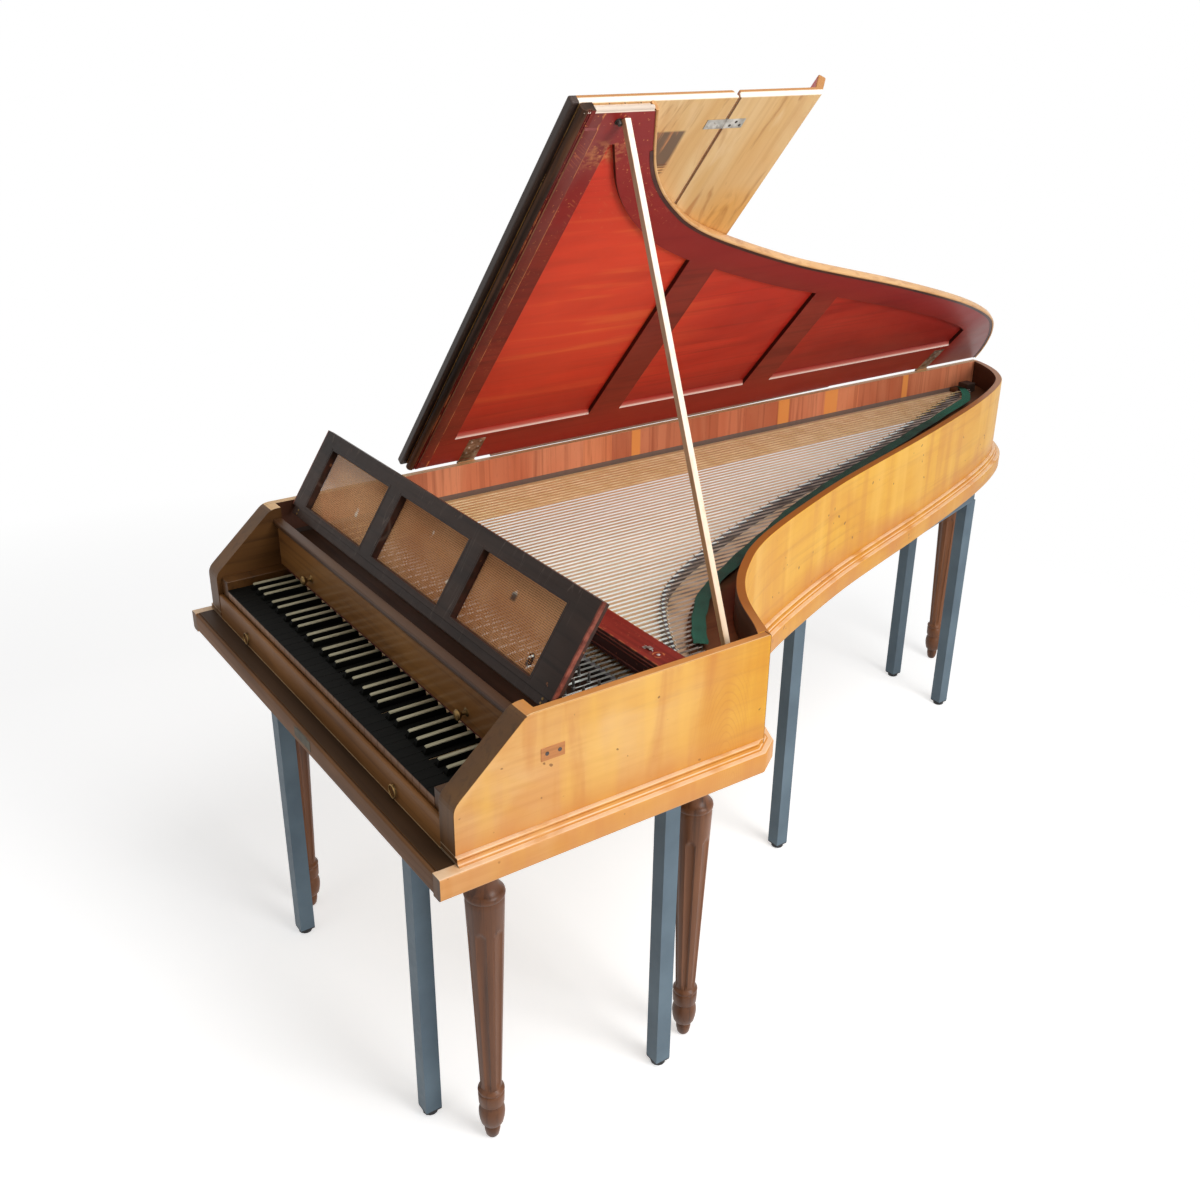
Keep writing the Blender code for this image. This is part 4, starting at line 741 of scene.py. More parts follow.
# %% Soundboard, cover and desk woods
def soundboard_wood():
    made = Material("soundboard_wood")
    colour, streaks = grain(made, "y", SPRUCE, figure=0.5)
    rings = (made.x * (math.tau / 0.0028) + made.noise((20.0, 0.8, 1.0), detail=2.0) * 14.0).math("SINE")
    colour = made.mix(rings.stretch(0.2, 1.0) * 0.28, colour, paint(178, 126, 78))
    plank = (made.x * (1 / 0.115)).math("FLOOR")
    tone = (plank * 12.9898).math("SINE").math("MULTIPLY", 43758.5).math("FRACT")
    colour = made.mix(tone * 0.3, colour, paint(222, 182, 132))
    joint = (made.x * (1 / 0.115)).math("FRACT").stretch(0.012, 0.004)
    colour = made.mix(joint * 0.6, colour, paint(140, 96, 60))
    dust = made.noise((5.0, 5.0, 5.0), detail=4.0, offset=3.0)
    colour = made.mix(dust.stretch(0.4, 0.8) * 0.35, colour, paint(196, 170, 140))
    # Lighter and yellower towards the spine on the bass side: painted light.
    painted_light_bass_side = made.x.stretch(-0.24, -0.34) * made.y.stretch(1.55, 0.80)
    colour = made.mix(painted_light_bass_side * 0.8, colour, paint(250, 216, 152))
    return made.finish(colour, dust * 0.2 + 0.42, streaks, 0.0001, Coat_Weight=0.1, Coat_Roughness=0.3)


def cover_wood():
    made = Material("cover_wood")
    colour, streaks = grain(made, "x", COVER)
    front, back = span("damper_cover")[0].y, span("damper_cover")[1].y
    chips = made.noise((70.0, 70.0, 70.0), detail=5.0, offset=3.0)
    edges = made.y.stretch(front + 0.0035, front + 0.0012) + made.y.stretch(back - 0.0035, back - 0.0012)
    upper = made.z.stretch(RIM_TOP - 0.013, RIM_TOP - 0.010)
    colour = made.mix(edges * upper * chips.stretch(0.44, 0.56) * 0.8, colour, paint(186, 100, 58))
    # The cover's front face is painted dark: painted shade.
    colour = made.mix(made.ny.stretch(-0.4, -0.7) * 0.75, colour, paint(46, 24, 20))
    pivot = (made.x - 0.425) * (made.x - 0.425) + (made.y - 0.382) * (made.y - 0.382)
    arc = pivot.math("SQRT").band(0.0085, 0.0006, 0.0010) * made.noise((90.0, 90.0, 90.0)).stretch(0.42, 0.52)
    colour = made.mix(arc * 0.8, colour, paint(204, 122, 72))
    specks = made.noise((160.0, 160.0, 160.0), detail=2.0, offset=2.0).stretch(0.68, 0.72)
    colour = made.mix(specks * 0.5, colour, paint(190, 112, 80))
    return made.finish(colour, chips * 0.2 + 0.32, streaks, 0.0001, Coat_Weight=0.12, Specular_IOR_Level=0.3)


def desk_wood():
    """Near-black stain, worn through to red-brown at the edges of the windows and at the ends."""
    made = Material("desk_wood", DESK)
    colour, streaks = grain(made, "x", BLACKENED)
    half = span("desk_frame")[1].x - 0.004
    ends = made.x.math("ABSOLUTE").stretch(half - 0.004, half - 0.001) * made.z.stretch(-0.0040, -0.0025)
    red = made.noise((70.0, 70.0, 70.0), detail=4.0, offset=2.0)
    colour = made.mix(ends * 0.85, colour, made.mix(red.stretch(0.4, 0.6), paint(108, 50, 38), paint(164, 90, 72)))
    inner = made.nz.math("ABSOLUTE").stretch(0.5, 0.3) * red.stretch(0.35, 0.6)
    colour = made.mix(inner * 0.25, colour, paint(96, 46, 32))
    lines = made.scratches((160.0, 14.0, 20.0), amount=0.03)
    colour = made.mix(lines * 0.25, colour, paint(120, 104, 94))
    chips = made.noise((45.0, 45.0, 45.0), detail=5.0, offset=9.0).stretch(0.71, 0.74)
    colour = made.mix(chips * 0.6, colour, paint(156, 98, 62))
    return made.finish(colour, red * 0.2 + 0.36, streaks, 0.0001, Coat_Weight=0.04, Specular_IOR_Level=0.14)


soundboard_look = soundboard_wood()
cover_look = cover_wood()
desk_look = desk_wood()
print("soundboard, cover and desk woods ready")

# %% [markdown]
# ## Metal, bone, ebony, rubber and cloth
#
# Each has its own unevenness, at the size that the real one shows: brushed and finger-marked metal,
# bone with fine streaks, and cloth as crossing threads with worn places.


# %% Other materials
def plain(name, dark, light, scale, rough, metallic=0.0, depth=0.00005, stretched=(1.0, 1.0, 1.0), gloss=0.5,
          shaded_band_y=None):  # fmt: skip
    made = Material(name)
    patches = made.noise(tuple(scale * value for value in stretched), detail=5.0)
    fine = made.noise(tuple(scale * 12 * value for value in stretched), detail=2.0)
    colour = made.mix(patches.stretch(0.35, 0.70), dark, light)
    # A darker band across the wires by the damper cover: painted shade.
    if shaded_band_y:
        colour = made.mix(made.y.band(shaded_band_y, 0.022, 0.025) * 0.75, colour, paint(70, 62, 52))
    return made.finish(
        colour, fine * 0.2 + (rough - 0.1), fine, depth, Metallic=metallic, Specular_IOR_Level=gloss
    )


def woven(name, dark, light, pitch, fuzz=0.5, shade=None):
    """Threads crossing at a pitch; shade is a darker tone laid over a long strip's middle as painted shade."""
    made = Material(name)
    across = (made.x * (math.pi / pitch)).math("SINE").math("ABSOLUTE")
    along = ((made.y + made.z) * (math.pi / pitch)).math("SINE").math("ABSOLUTE")
    weave = across * along
    patches = made.noise((30.0, 30.0, 30.0), detail=5.0)
    fibres = made.noise((500.0, 500.0, 500.0), detail=3.0)
    colour = made.mix(weave.stretch(0.1, 0.7), dark, light)
    colour = made.mix(patches.stretch(0.45, 0.75) * fuzz, colour, dark)
    colour = made.mix(fibres.stretch(0.5, 0.8) * 0.4, colour, light)
    if shade:
        # The strip's middle gets the darker tone: painted shade.
        middle = made.y.stretch(0.46, 0.62) * made.y.stretch(1.84, 1.72)
        colour = made.mix(middle * (patches * 0.5 + 0.45), colour, shade)
    return made.finish(colour, patches * 0.1 + 0.85, weave + fibres, pitch / 5)


steel_paint = plain("steel_paint", paint(92, 108, 120), paint(106, 124, 136), 9.0, 0.42, gloss=0.15)
rubber = plain("rubber", paint(20, 20, 22), paint(44, 44, 48), 20.0, 0.7)
brass = plain("brass", paint(150, 112, 58), paint(216, 178, 110), 60.0, 0.34, metallic=1.0)
old_brass = plain("old_brass", paint(96, 74, 44), paint(160, 128, 78), 90.0, 0.42, metallic=0.9)
iron = plain("iron", paint(150, 146, 138), paint(214, 210, 202), 70.0, 0.40, metallic=0.6)
hinge_iron = plain("hinge_iron", paint(104, 84, 66), paint(196, 184, 166), 50.0, 0.42, metallic=0.7)
dark_iron = plain("dark_iron", paint(46, 42, 40), paint(92, 86, 82), 60.0, 0.45, metallic=0.8)
# The wires are pale and barely metallic, lighter than the bare metal: their colour paints the strings' bright glints.
# The steel also gets a band of painted shade by the damper cover.
steel_wire = plain("steel_wire", paint(234, 246, 240), paint(246, 253, 250), 30.0, 0.30, metallic=0.05, shaded_band_y=0.325)
brass_wire = plain("brass_wire", paint(216, 188, 132), paint(242, 222, 176), 30.0, 0.30, metallic=0.10)
# Darker, patchy wire for the strings' ends behind the bridge: painted shade.
shaded_wire = plain("shaded_wire", paint(104, 92, 84), paint(214, 200, 188), 14.0, 0.34, metallic=0.10)
pin_steel = plain("pin_steel", paint(74, 72, 70), paint(140, 138, 134), 80.0, 0.36, metallic=0.5)
ebony = plain("ebony", paint(5, 5, 4), paint(12, 12, 9), 40.0, 0.50, stretched=(8.0, 0.5, 1.0), gloss=0.05)
dull_brass = plain("dull_brass", paint(50, 44, 30), paint(84, 76, 52), 60.0, 0.5, metallic=0.2, gloss=0.2)
bone = plain("bone", paint(142, 136, 110), paint(176, 168, 140), 35.0, 0.42, stretched=(5.0, 0.4, 1.0), gloss=0.2)
leather = plain("leather", paint(150, 112, 76), paint(190, 152, 110), 60.0, 0.85, depth=0.0002)
green_cloth = woven("green_cloth", paint(14, 60, 46), paint(44, 120, 96), 0.0012, shade=paint(14, 26, 20))
red_cloth = woven("red_cloth", paint(54, 16, 12), paint(110, 40, 28), 0.0010)
print("other materials ready")


# %% [markdown]
# The music desk is filled with an open canvas. Its threads are real squares of a shader pattern:
# the alpha is 0 between them, so the strings and the wood behind show through the cloth.


# %% Desk canvas
def canvas(pitch=0.00333, thread=0.46):
    made = Material("desk_canvas", DESK)
    wobble = made.noise((25.0, 25.0, 1.0), detail=3.0) * 0.7
    warp = (made.x * (1 / pitch) + wobble).math("FRACT").band(0.5, thread / 2, 0.05)
    weft = (made.y * (1 / pitch) + wobble).math("FRACT").band(0.5, thread / 2, 0.05)
    stout = (made.x * (0.5 / pitch) + wobble * 0.5).math("FRACT").band(0.25, thread / 3, 0.05)
    fill = warp.math("MAXIMUM", weft).math("MAXIMUM", stout)
    tone = made.noise((3.0, 6.0, 1.0), detail=4.0)
    colour = made.mix(tone.stretch(0.35, 0.65), paint(188, 122, 72), paint(226, 168, 116))
    fibre = made.noise((300.0, 300.0, 300.0), detail=3.0)
    colour = made.mix(fibre.stretch(0.45, 0.75) * 0.4, colour, paint(132, 88, 56))
    spots = made.noise((26.0, 26.0, 1.0), detail=2.0, offset=4.0)
    colour = made.mix(spots.stretch(0.70, 0.74) * 0.8, colour, paint(250, 240, 220))
    stain = (made.x - 0.262).math("ABSOLUTE").stretch(0.010, 0.004) * made.y.band(0.085, 0.004, 0.004)
    colour = made.mix(stain * 0.9, colour, paint(60, 40, 30))
    colour = made.mix(fill, paint(34, 18, 11), colour)
    dusty = made.y.stretch(0.030, 0.075) * 0.65 + 0.10
    closed = fill.math("MAXIMUM", dusty).math("MAXIMUM", stain * 0.8)
    hole_x, hole_y = made.x - 0.362, made.y - 0.022
    hole = (hole_x * hole_x + hole_y * hole_y * 0.5).math("SQRT").stretch(0.007, 0.009)
    frayed = hole.math("MAXIMUM", weft * made.noise((400.0, 60.0, 1.0)).stretch(0.5, 0.55))
    made.finish(colour, fibre * 0.1 + 0.85, fill, 0.0002, Alpha=closed * frayed)
    return made.material


desk_canvas = canvas()
print("canvas ready")

# %% [markdown]
# ## Case
#
# The walls stand on the bottom board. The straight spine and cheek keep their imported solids, with
# softened edges. The bentside is drawn again with its smooth curve: on the real instrument it is
# glued up from thin leaves over a form, so it has no corner anywhere.


# %% Kept solids
def keep(name, look, bevel=0.0008, segments=2):
    """Leaves a node as it is imported and gives it a material and softened edges."""
    node = nodes[name]
    node.data.materials.clear()
    node.data.materials.append(look)
    weld = node.modifiers.new("welded", "WELD")
    weld.merge_threshold = 0.00001
    flat = node.modifiers.new("flat_faces", "DECIMATE")
    flat.decimate_type = "DISSOLVE"
    flat.angle_limit = math.radians(1)
    add_bevel(node, bevel, segments)


keep("spine", spine_wood, 0.0015, 3)
keep("cheek", cheek_wood, 0.0015, 3)
keep("bottom_board", lime_y)
keep("belly_rail", lime_x)
keep("key_frame", lime_x)
keep("escapement_rail", lime_x)
keep("key_block_bass", brown_x, 0.0012)
keep("key_block_treble", brown_x, 0.0012)
keep("stand_frame", steel_paint, 0.0022, 3)
for name in nodes:
    if name.startswith("rubber_foot"):
        keep(name, rubber, 0.0010)
    if name.startswith("hammers"):
        keep(name, lime_y, 0.0004)

rim = Shape().slab(smoothed(outline("bentside", DESIGN, RIM_TOP)[0]), span("bentside")[0].z, RIM_TOP)
show("bentside_wall", rim, bentside_wood, replaces=["bentside"], bevel=0.0015, segments=3)
print("case walls ready")

# %% [markdown]
# The plinth moulding runs round the case in one sweep: a flat band with rounded edges, a cove above
# it and a thin bead. Along the front it becomes a shelf with a groove near its edge and a brass
# plate for the lock of the fall flap.

# %% Plinth
PLINTH_LOW = 0.630
PLINTH_DEPTH = 0.0215
SHELF_Y = 0.0355
BAND_ROUND = 0.006


def arc(centre, radius, start, end, steps=5):
    """Points of an arc of (out, z), between two angles in degrees."""
    turns = [math.radians(start + (end - start) * k / steps) for k in range(steps + 1)]
    return [(centre[0] + radius * math.cos(t), centre[1] + radius * math.sin(t)) for t in turns]


band_profile = [
    (FIT, PLINTH_LOW), *arc((PLINTH_DEPTH - BAND_ROUND, PLINTH_LOW + BAND_ROUND), BAND_ROUND, -90, 0),
    *arc((PLINTH_DEPTH - 0.003, PLINTH_TOP - 0.003), 0.003, 0, 90, 4), (FIT, PLINTH_TOP),
]  # fmt: skip
bead_profile = [
    (FIT, PLINTH_TOP - 0.001), (0.0125, PLINTH_TOP - 0.001), (0.0125, PLINTH_TOP + 0.0012),
    *arc((0.0125, PLINTH_TOP + 0.0062), 0.005, 270, 180, 4), (0.0075, PLINTH_TOP + 0.0075),
    *arc((0.0055, PLINTH_TOP + 0.0098), 0.0022, -70, 90, 5), (FIT, 0.680),
]  # fmt: skip
CORNER_CUT = 0.020
cheek_end, bend = case_route[1], case_route[2]
cut = [cheek_end - Vector((0, CORNER_CUT)), cheek_end + (bend - cheek_end).normalized() * CORNER_CUT]
beyond_cut = [point for point in case_route[2:-1] if (point - cheek_end).length > CORNER_CUT + 0.002]
route_round = [*cut, *beyond_cut]
band_route = [Vector((CASE_HALF, -SHELF_Y)), *route_round, Vector((-CASE_HALF, -SHELF_Y))]
bead_route = [Vector((CASE_HALF, -0.0006)), *route_round, Vector((-CASE_HALF, -0.0006))]
print("plinth route:", len(band_route), "points")
shelf_profile = [
    (-FIT, PLINTH_LOW), (-FIT, PLINTH_TOP), (-0.0280, PLINTH_TOP), (-0.0285, PLINTH_TOP - 0.0016),
    (-0.0297, PLINTH_TOP - 0.0016), (-0.0302, PLINTH_TOP - 0.0004),
    *((-out, z) for out, z in reversed(arc((SHELF_Y - 0.004, PLINTH_TOP - 0.0044), 0.004, 0, 90))),
    *((-out, z) for out, z in reversed(arc((SHELF_Y - BAND_ROUND, PLINTH_LOW + BAND_ROUND), BAND_ROUND, -90, 0))),
]  # fmt: skip
plinth_wood = case_wood("plinth_wood", "level", (0, 0), MAROON)


def shelf_board():
    """Shaded brown, with painted shade on the ledge in front of the key slip."""
    made = Material("shelf_wood")
    colour, streaks = grain(made, "x", SHADY)
    # The ledge's dark top is painted shade.
    ledge = made.nz.stretch(0.75, 0.95) * made.y.stretch(-0.0325, -0.0295)
    colour = made.mix(ledge * 0.8, colour, paint(34, 23, 12))
    return made.finish(colour, streaks * 0.2 + 0.42, streaks, 0.0001, Coat_Weight=0.0, Specular_IOR_Level=0.12)


shelf_wood = shelf_board()
plinth = Shape().moulding(band_route, band_profile).moulding(bead_route, bead_profile)
show("plinth_band", plinth, plinth_wood, replaces=["plinth_moulding"])
shelf = Shape().slab(shelf_profile, -CASE_HALF - 0.001, CASE_HALF + 0.001, axis="X")
show("front_shelf", shelf, shelf_wood)

plate = Shape()
plate.box((0.0, 0.065), (-SHELF_Y - 0.0004, -SHELF_Y + 0.003), (0.642, 0.660))
plate.box((0.012, 0.053), (-SHELF_Y - 0.0004, -SHELF_Y + 0.003), (0.6600, 0.6625))
show("lock_plate", plate, dull_brass, bevel=0.0003)
inlay = Shape().box((CASE_HALF - 0.002, CASE_HALF + 0.0008), (0.139, 0.179), (0.782, 0.803))
inlay_wood = wood("inlay_wood", "y", (paint(116, 60, 26), paint(166, 98, 48), paint(190, 124, 68)))
show("side_plate", inlay, inlay_wood, bevel=0.0006)
holes = Shape()
for hole_y in (0.149, 0.170):
    holes.turned([(0.0032, 0), (0.0032, 0.0012), (0.0018, 0.0013)], (CASE_HALF, hole_y, 0.793), (1, 0, 0))
show("side_plate_screws", holes, dark_iron)
tail_block = Shape().box((-INNER + 0.030, -INNER + 0.062), (2.036, 2.068), (0.8035, 0.8260))
show("tail_block", tail_block, blackened_x, bevel=0.002)
print("plinth ready")

# %% [markdown]
# ## Soundboard, bridge and rails
#
# The soundboard lies low in the case. The bridge is glued on it and carries the strings on small
# pins, two for each string. Round the edge, the hitch-pin rail takes the strings' ends.

# %% Soundboard and rails
board_low, board_high = span("soundboard")[0].z, span("soundboard")[1].z
soundboard_plan = smoothed(outline("soundboard", DESIGN, board_high)[0])
board = Shape().slab(soundboard_plan, board_low, board_high)
show("soundboard_planks", board, soundboard_look, replaces=["soundboard"])

rail_low, rail_high = span("hitchpin_rail")[0].z, span("hitchpin_rail")[1].z
hitch_plan = smoothed(outline("hitchpin_rail", DESIGN, rail_high)[0])
hitch_wood = wood("hitch_wood", "y", (paint(44, 26, 16), paint(78, 48, 30), paint(108, 70, 44)), gloss=0.15)
hitch = Shape().slab(hitch_plan, rail_low, rail_high)
show("hitchpin_rail_wood", hitch, hitch_wood, replaces=["hitchpin_rail"], bevel=0.0012)

bridge_low, bridge_high = span("bridge")[0].z, span("bridge")[1].z
bridge_loop = smoothed(outline("bridge", DESIGN, bridge_high)[0])
bridge_front, bridge_back = (
    lengthened(side, 0.012, 0.010) for side in long_sides(bridge_loop, (0.400, 0.437), (0.39, 0.44))
)
bridge_plan = [*bridge_front, *reversed(bridge_back)]
cross_section = [(0.0, 0.0), (0.0, 0.35), (0.17, 0.92), (0.24, 1.0), (0.76, 1.0), (0.83, 0.92), (1.0, 0.35), (1.0, 0.0)]
foot = Shape().rows(
    [[(*front.lerp(back, share), bridge_low + (bridge_high - bridge_low) * rise) for share, rise in cross_section]
     for front, back in zip(bridge_front, bridge_back)], closed=True, capped=True)  # fmt: skip
bridge_wood = wood("bridge_wood", "y", (paint(28, 26, 28), paint(62, 60, 62), paint(100, 98, 98)), rough=0.36)
show("bridge_wood", foot, bridge_wood, replaces=["bridge"])
print("soundboard ready")

# %% [markdown]
# ## Strings and pins
#
# There are 61 notes with two strings each. A string starts in a coil round its tuning pin, crosses
# the nut, passes between the bridge pins and ends in a loop on its hitch pin. The lower notes have
# brass wire, the others steel.

# %% Strings
NOTES = 61
NATURALS = 36
KEY_GAP = 0.0006
PAIR = 0.0029
PIN_ROWS = (0.292, 0.262, 0.240, 0.218)
BRASS_NOTES = 9
LANE = (span("naturals_5")[1].x - span("naturals_1")[0].x + KEY_GAP) / NOTES
KEYBOARD_HALF = LANE * NOTES / 2
WIRE_Z = STRING_Z + 0.0005
PLANK_TOP = 0.795
PIN_TOP = span("wrest_plank")[1].z
NUT_Y = (span("nut")[0].y + span("nut")[1].y) / 2
COIL = [(0.0021, 0.0), (0.0021, 0.0155), (0.0030, 0.0160), (0.0034, 0.0167), (0.0030, 0.0174),
        (0.0034, 0.0181), (0.0030, 0.0188), (0.0034, 0.0195), (0.0022, 0.0202), (0.0022, 0.0325),
        (0.0015, 0.0337)]  # fmt: skip


def note_x(note):
    return -KEYBOARD_HALF + (note + 0.5) * LANE


steel, copper, behind = Shape(), Shape(), Shape()
pins, small_pins, hitch_pins = Shape(), Shape(), Shape()
for note in range(NOTES):
    x = note_x(note)
    front, back = crossings(bridge_plan, x)[:2]
    rail_edge = [y for y in crossings(hitch_plan, x) if y > back][0]
    for side in (0, 1):
        string_x = x + (side - 0.5) * PAIR
        pin_y = PIN_ROWS[(note % 2) * 2 + side]
        wires = copper if note < BRASS_NOTES else steel
        thickness = 0.00076
        end_y = rail_edge + 0.013 + 0.006 * side
        start = (string_x + 0.0024, pin_y, PLANK_TOP + 0.018)
        wires.tube([start, (string_x, NUT_Y, WIRE_Z), (string_x, back, WIRE_Z)], thickness, sides=6)
        behind.tube([(string_x, back, WIRE_Z), (string_x, end_y, WIRE_Z)], thickness, sides=6)
        pins.turned(COIL, (string_x, pin_y, PLANK_TOP), steps=8)
        small_pins.turned([(0.0006, 0), (0.0006, 0.0028), (0.0003, 0.0031)], (string_x, NUT_Y, WIRE_Z), steps=6)
        for pin_place in (front + 0.0032, back - 0.0032):
            place = (string_x + 0.0009, pin_place, bridge_high - 0.0005)
            small_pins.turned([(0.0007, 0), (0.0007, 0.0032), (0.0004, 0.0035)], place, steps=6)
        peg = (string_x, end_y, rail_high - 0.001)
        hitch_pins.turned([(0.0009, 0), (0.0009, 0.0112), (0.0005, 0.0118)], peg, steps=8)

show("strings_steel", steel, steel_wire, replaces=["strings"])
show("strings_brass", copper, brass_wire)
show("string_ends", behind, shaded_wire)
show("tuning_pins", pins, pin_steel)
show("bridge_pins", small_pins, brass)
show("hitch_pins", hitch_pins, pin_steel)

# The wrest plank's near-black wood is painted shade.
plank_low, plank_high = span("wrest_plank")
plank = Shape().box((plank_low.x, plank_high.x), (plank_low.y, plank_high.y), (plank_low.z, PLANK_TOP))
show("wrest_plank_wood", plank, plank_shade_wood, replaces=["wrest_plank"], bevel=0.001)
keep("nut", bridge_wood, 0.0022, 3)
print("strings ready")

# %% [markdown]
# A strip of green cloth is laid over the ends of the strings and their hitch pins, so that the short
# ends stay silent. It is one ribbon with wavy edges. At the tail its end is loose and curls up.

# %% Listing cloth
CLOTH_NEAR = 0.003
CLOTH_WIDE = 0.024
CLOTH_TOP = WIRE_Z + 0.0024
CURL = [(-0.330, 1.945, 0.003), (-0.352, 1.972, 0.006), (-0.374, 1.990, 0.010), (-0.388, 1.992, 0.014),
        (-0.392, 1.982, 0.018)]  # fmt: skip
cloth_node = smoothed(outline("listing_cloth", DESIGN, span("listing_cloth")[1].z)[0])
near_side, far_side = long_sides(cloth_node, (0.361, 0.497), (0.35, 0.50))
ribbon = []
spine_of_cloth = []
for k, (near, far) in enumerate(zip(near_side, far_side)):
    if near.y > 1.90:
        break
    across = (far - near).normalized()
    first = near + across * (CLOTH_NEAR + 0.0012 * math.sin(k * 1.9))
    row = []
    for step in range(9):
        place = first + across * (CLOTH_WIDE * step / 8 + 0.0008 * math.sin(k * 0.9) * step / 8)
        row.append((*place, CLOTH_TOP + 0.0007 * math.sin(k * 0.8 + step * 0.6)))
    ribbon.append(row)
    spine_of_cloth.append(Vector(row[4]))
outward = Vector(ribbon[-1][8]) - Vector(ribbon[-1][0])
for x, y, rise in CURL:
    middle = Vector((x, y, CLOTH_TOP + rise))
    ribbon.append([tuple(middle + outward * (step / 8 - 0.5)) for step in range(9)])
    spine_of_cloth.append(middle)
cloth_length = sum((q - p).length for p, q in zip(spine_of_cloth, spine_of_cloth[1:]))
cloth = show("listing_strip", Shape().rows(ribbon), green_cloth, replaces=["listing_cloth"])

# %% [markdown]
# ## Keys
#
# Each natural is a lever of lime wood with an ebony plate on top and a brown board in front of its
# head. The sharps are narrow blocks of dark wood topped with a strip of bone. All keys are separate
# in the mesh; the keys of one octave move together.

# %% Keys
GROUPS = 5
LANES = 12
NATURAL_LANES = (0, 2, 4, 6, 7, 9, 11)
SHARP_LANES = (1, 3, 5, 8, 10)
NATURAL_WIDTH = 2 * KEYBOARD_HALF / NATURALS
KEY_FRONT = span("naturals_1")[0].y
NATURAL_TOP = 0.734
KEY_BOTTOM = 0.716
PLATE = 0.0024
HEAD_END = KEY_FRONT + 0.0385
KEY_END = 0.488
SHARP_FRONT, SHARP_END = 0.0485, 0.134
SHARP_TOP = span("sharps_1")[1].z
SHARP_HALF = 0.0051
BONE_THICKNESS = 0.0020
BONE_HALF = 0.0036
front_wood = wood("front_board_wood", "x", (paint(70, 42, 24), paint(118, 78, 46), paint(148, 104, 66)))


def key_edges(group, index):
    """Left and right edges of a natural's head and of its tail; index 7 is the top note."""
    start = -KEYBOARD_HALF + group * 7 * NATURAL_WIDTH
    lane = LANES if index == 7 else NATURAL_LANES[index]
    half = KEY_GAP / 2
    head = start + index * NATURAL_WIDTH + half, start + (index + 1) * NATURAL_WIDTH - half
    tail = max(start + lane * LANE + half, head[0]), min(start + (lane + 1) * LANE - half, head[1])
    return head, tail


def key_plan(head, tail, front, end):
    plan = [
        (tail[0], end), (tail[0], HEAD_END), (head[0], HEAD_END), (head[0], front), (head[1], front),
        (head[1], HEAD_END), (tail[1], HEAD_END), (tail[1], end),
    ]  # fmt: skip
    return [p for p, q in zip(plan, plan[-1:] + plan[:-1]) if math.dist(p, q) > 1e-5]


for group in range(GROUPS):
    last = group == GROUPS - 1
    plates, levers, fronts, blocks, tops = Shape(), Shape(), Shape(), Shape(), Shape()
    for index in range(7 + last):
        head, tail = key_edges(group, index)
        plates.slab(key_plan(head, tail, KEY_FRONT, 0.150), NATURAL_TOP - PLATE, NATURAL_TOP)
        levers.slab(key_plan(head, tail, KEY_FRONT + 0.0012, 0.150), KEY_BOTTOM, NATURAL_TOP - PLATE)
        levers.box(tail, (0.1500, KEY_END), (KEY_BOTTOM, NATURAL_TOP))
        low = KEY_BOTTOM + 0.0003
        fronts.box((head[0] + 0.0003, head[1] - 0.0003), (KEY_FRONT + 0.0001, KEY_FRONT + 0.0012), (low, 0.7312))
    for lane in SHARP_LANES:
        middle = -KEYBOARD_HALF + group * 7 * NATURAL_WIDTH + (lane + 0.5) * LANE
        x = middle - SHARP_HALF, middle + SHARP_HALF
        bone_low = SHARP_TOP - BONE_THICKNESS
        levers.box(x, (SHARP_END, 0.450), (0.7147, NATURAL_TOP))
        rows = []
        for y, top in ((SHARP_FRONT, 0.7365), (SHARP_FRONT + 0.0034, bone_low), (SHARP_END, bone_low)):
            wide, narrow = SHARP_HALF, BONE_HALF + (SHARP_HALF - BONE_HALF) * (bone_low - top) / (bone_low - 0.7365)
            rows.append([(middle - wide, y, 0.7150), (middle - wide, y, 0.7350), (middle - narrow, y, top),
                         (middle + narrow, y, top), (middle + wide, y, 0.7350), (middle + wide, y, 0.7150)])
        blocks.rows(rows, closed=True, capped=True)
        rows = []
        for y, sink in ((0.0522, 0.0016), (0.0532, 0.0004), (0.0550, 0.0), (SHARP_END - 0.001, 0.0), (SHARP_END, 0.0)):
            top, half = SHARP_TOP - sink, BONE_HALF - 0.0001
            rows.append([(middle - half, y, bone_low), (middle - half, y, top - 0.0006), (middle - half + 0.0006, y, top),
                         (middle + half - 0.0006, y, top), (middle + half, y, top - 0.0006), (middle + half, y, bone_low)])
        tops.rows(rows, closed=True, capped=True)
    number = group + 1
    body = f"keys_{number}"
    show(f"natural_plates_{number}", plates, ebony, body, [f"naturals_{number}"], bevel=0.0005)
    show(f"key_levers_{number}", levers, lime_y, body)
    show(f"natural_fronts_{number}", fronts, front_wood, body)
    show(f"sharp_blocks_{number}", blocks, ebony, body, bevel=0.0005)
    show(f"sharp_tops_{number}", tops, bone, body, [f"sharps_{number}"])
    heads = Shape()
    hammer_low, hammer_high = span(f"hammers_{number}")
    for lane in range(LANES + last):
        middle = -KEYBOARD_HALF + group * 7 * NATURAL_WIDTH + (lane + 0.5) * LANE
        cap_y = hammer_low.y - 0.0006, hammer_low.y + 0.0086
        heads.box((middle - 0.0032, middle + 0.0032), cap_y, (hammer_high.z - 0.006, hammer_high.z + 0.0012))
    show(f"hammer_leathers_{number}", heads, leather, f"hammers_{number}", bevel=0.001)
print("keys ready")

# %% [markdown]
# ## Key slip and nameboard
#
# The key slip is the board in front of the keys. Two ring pulls hang on it by small eyes over turned
# plates. The nameboard stands behind the keys, with a moulding of three fillets along its top and
# two turned knobs by which it is lifted out. A ribbon of red cloth runs along its foot.

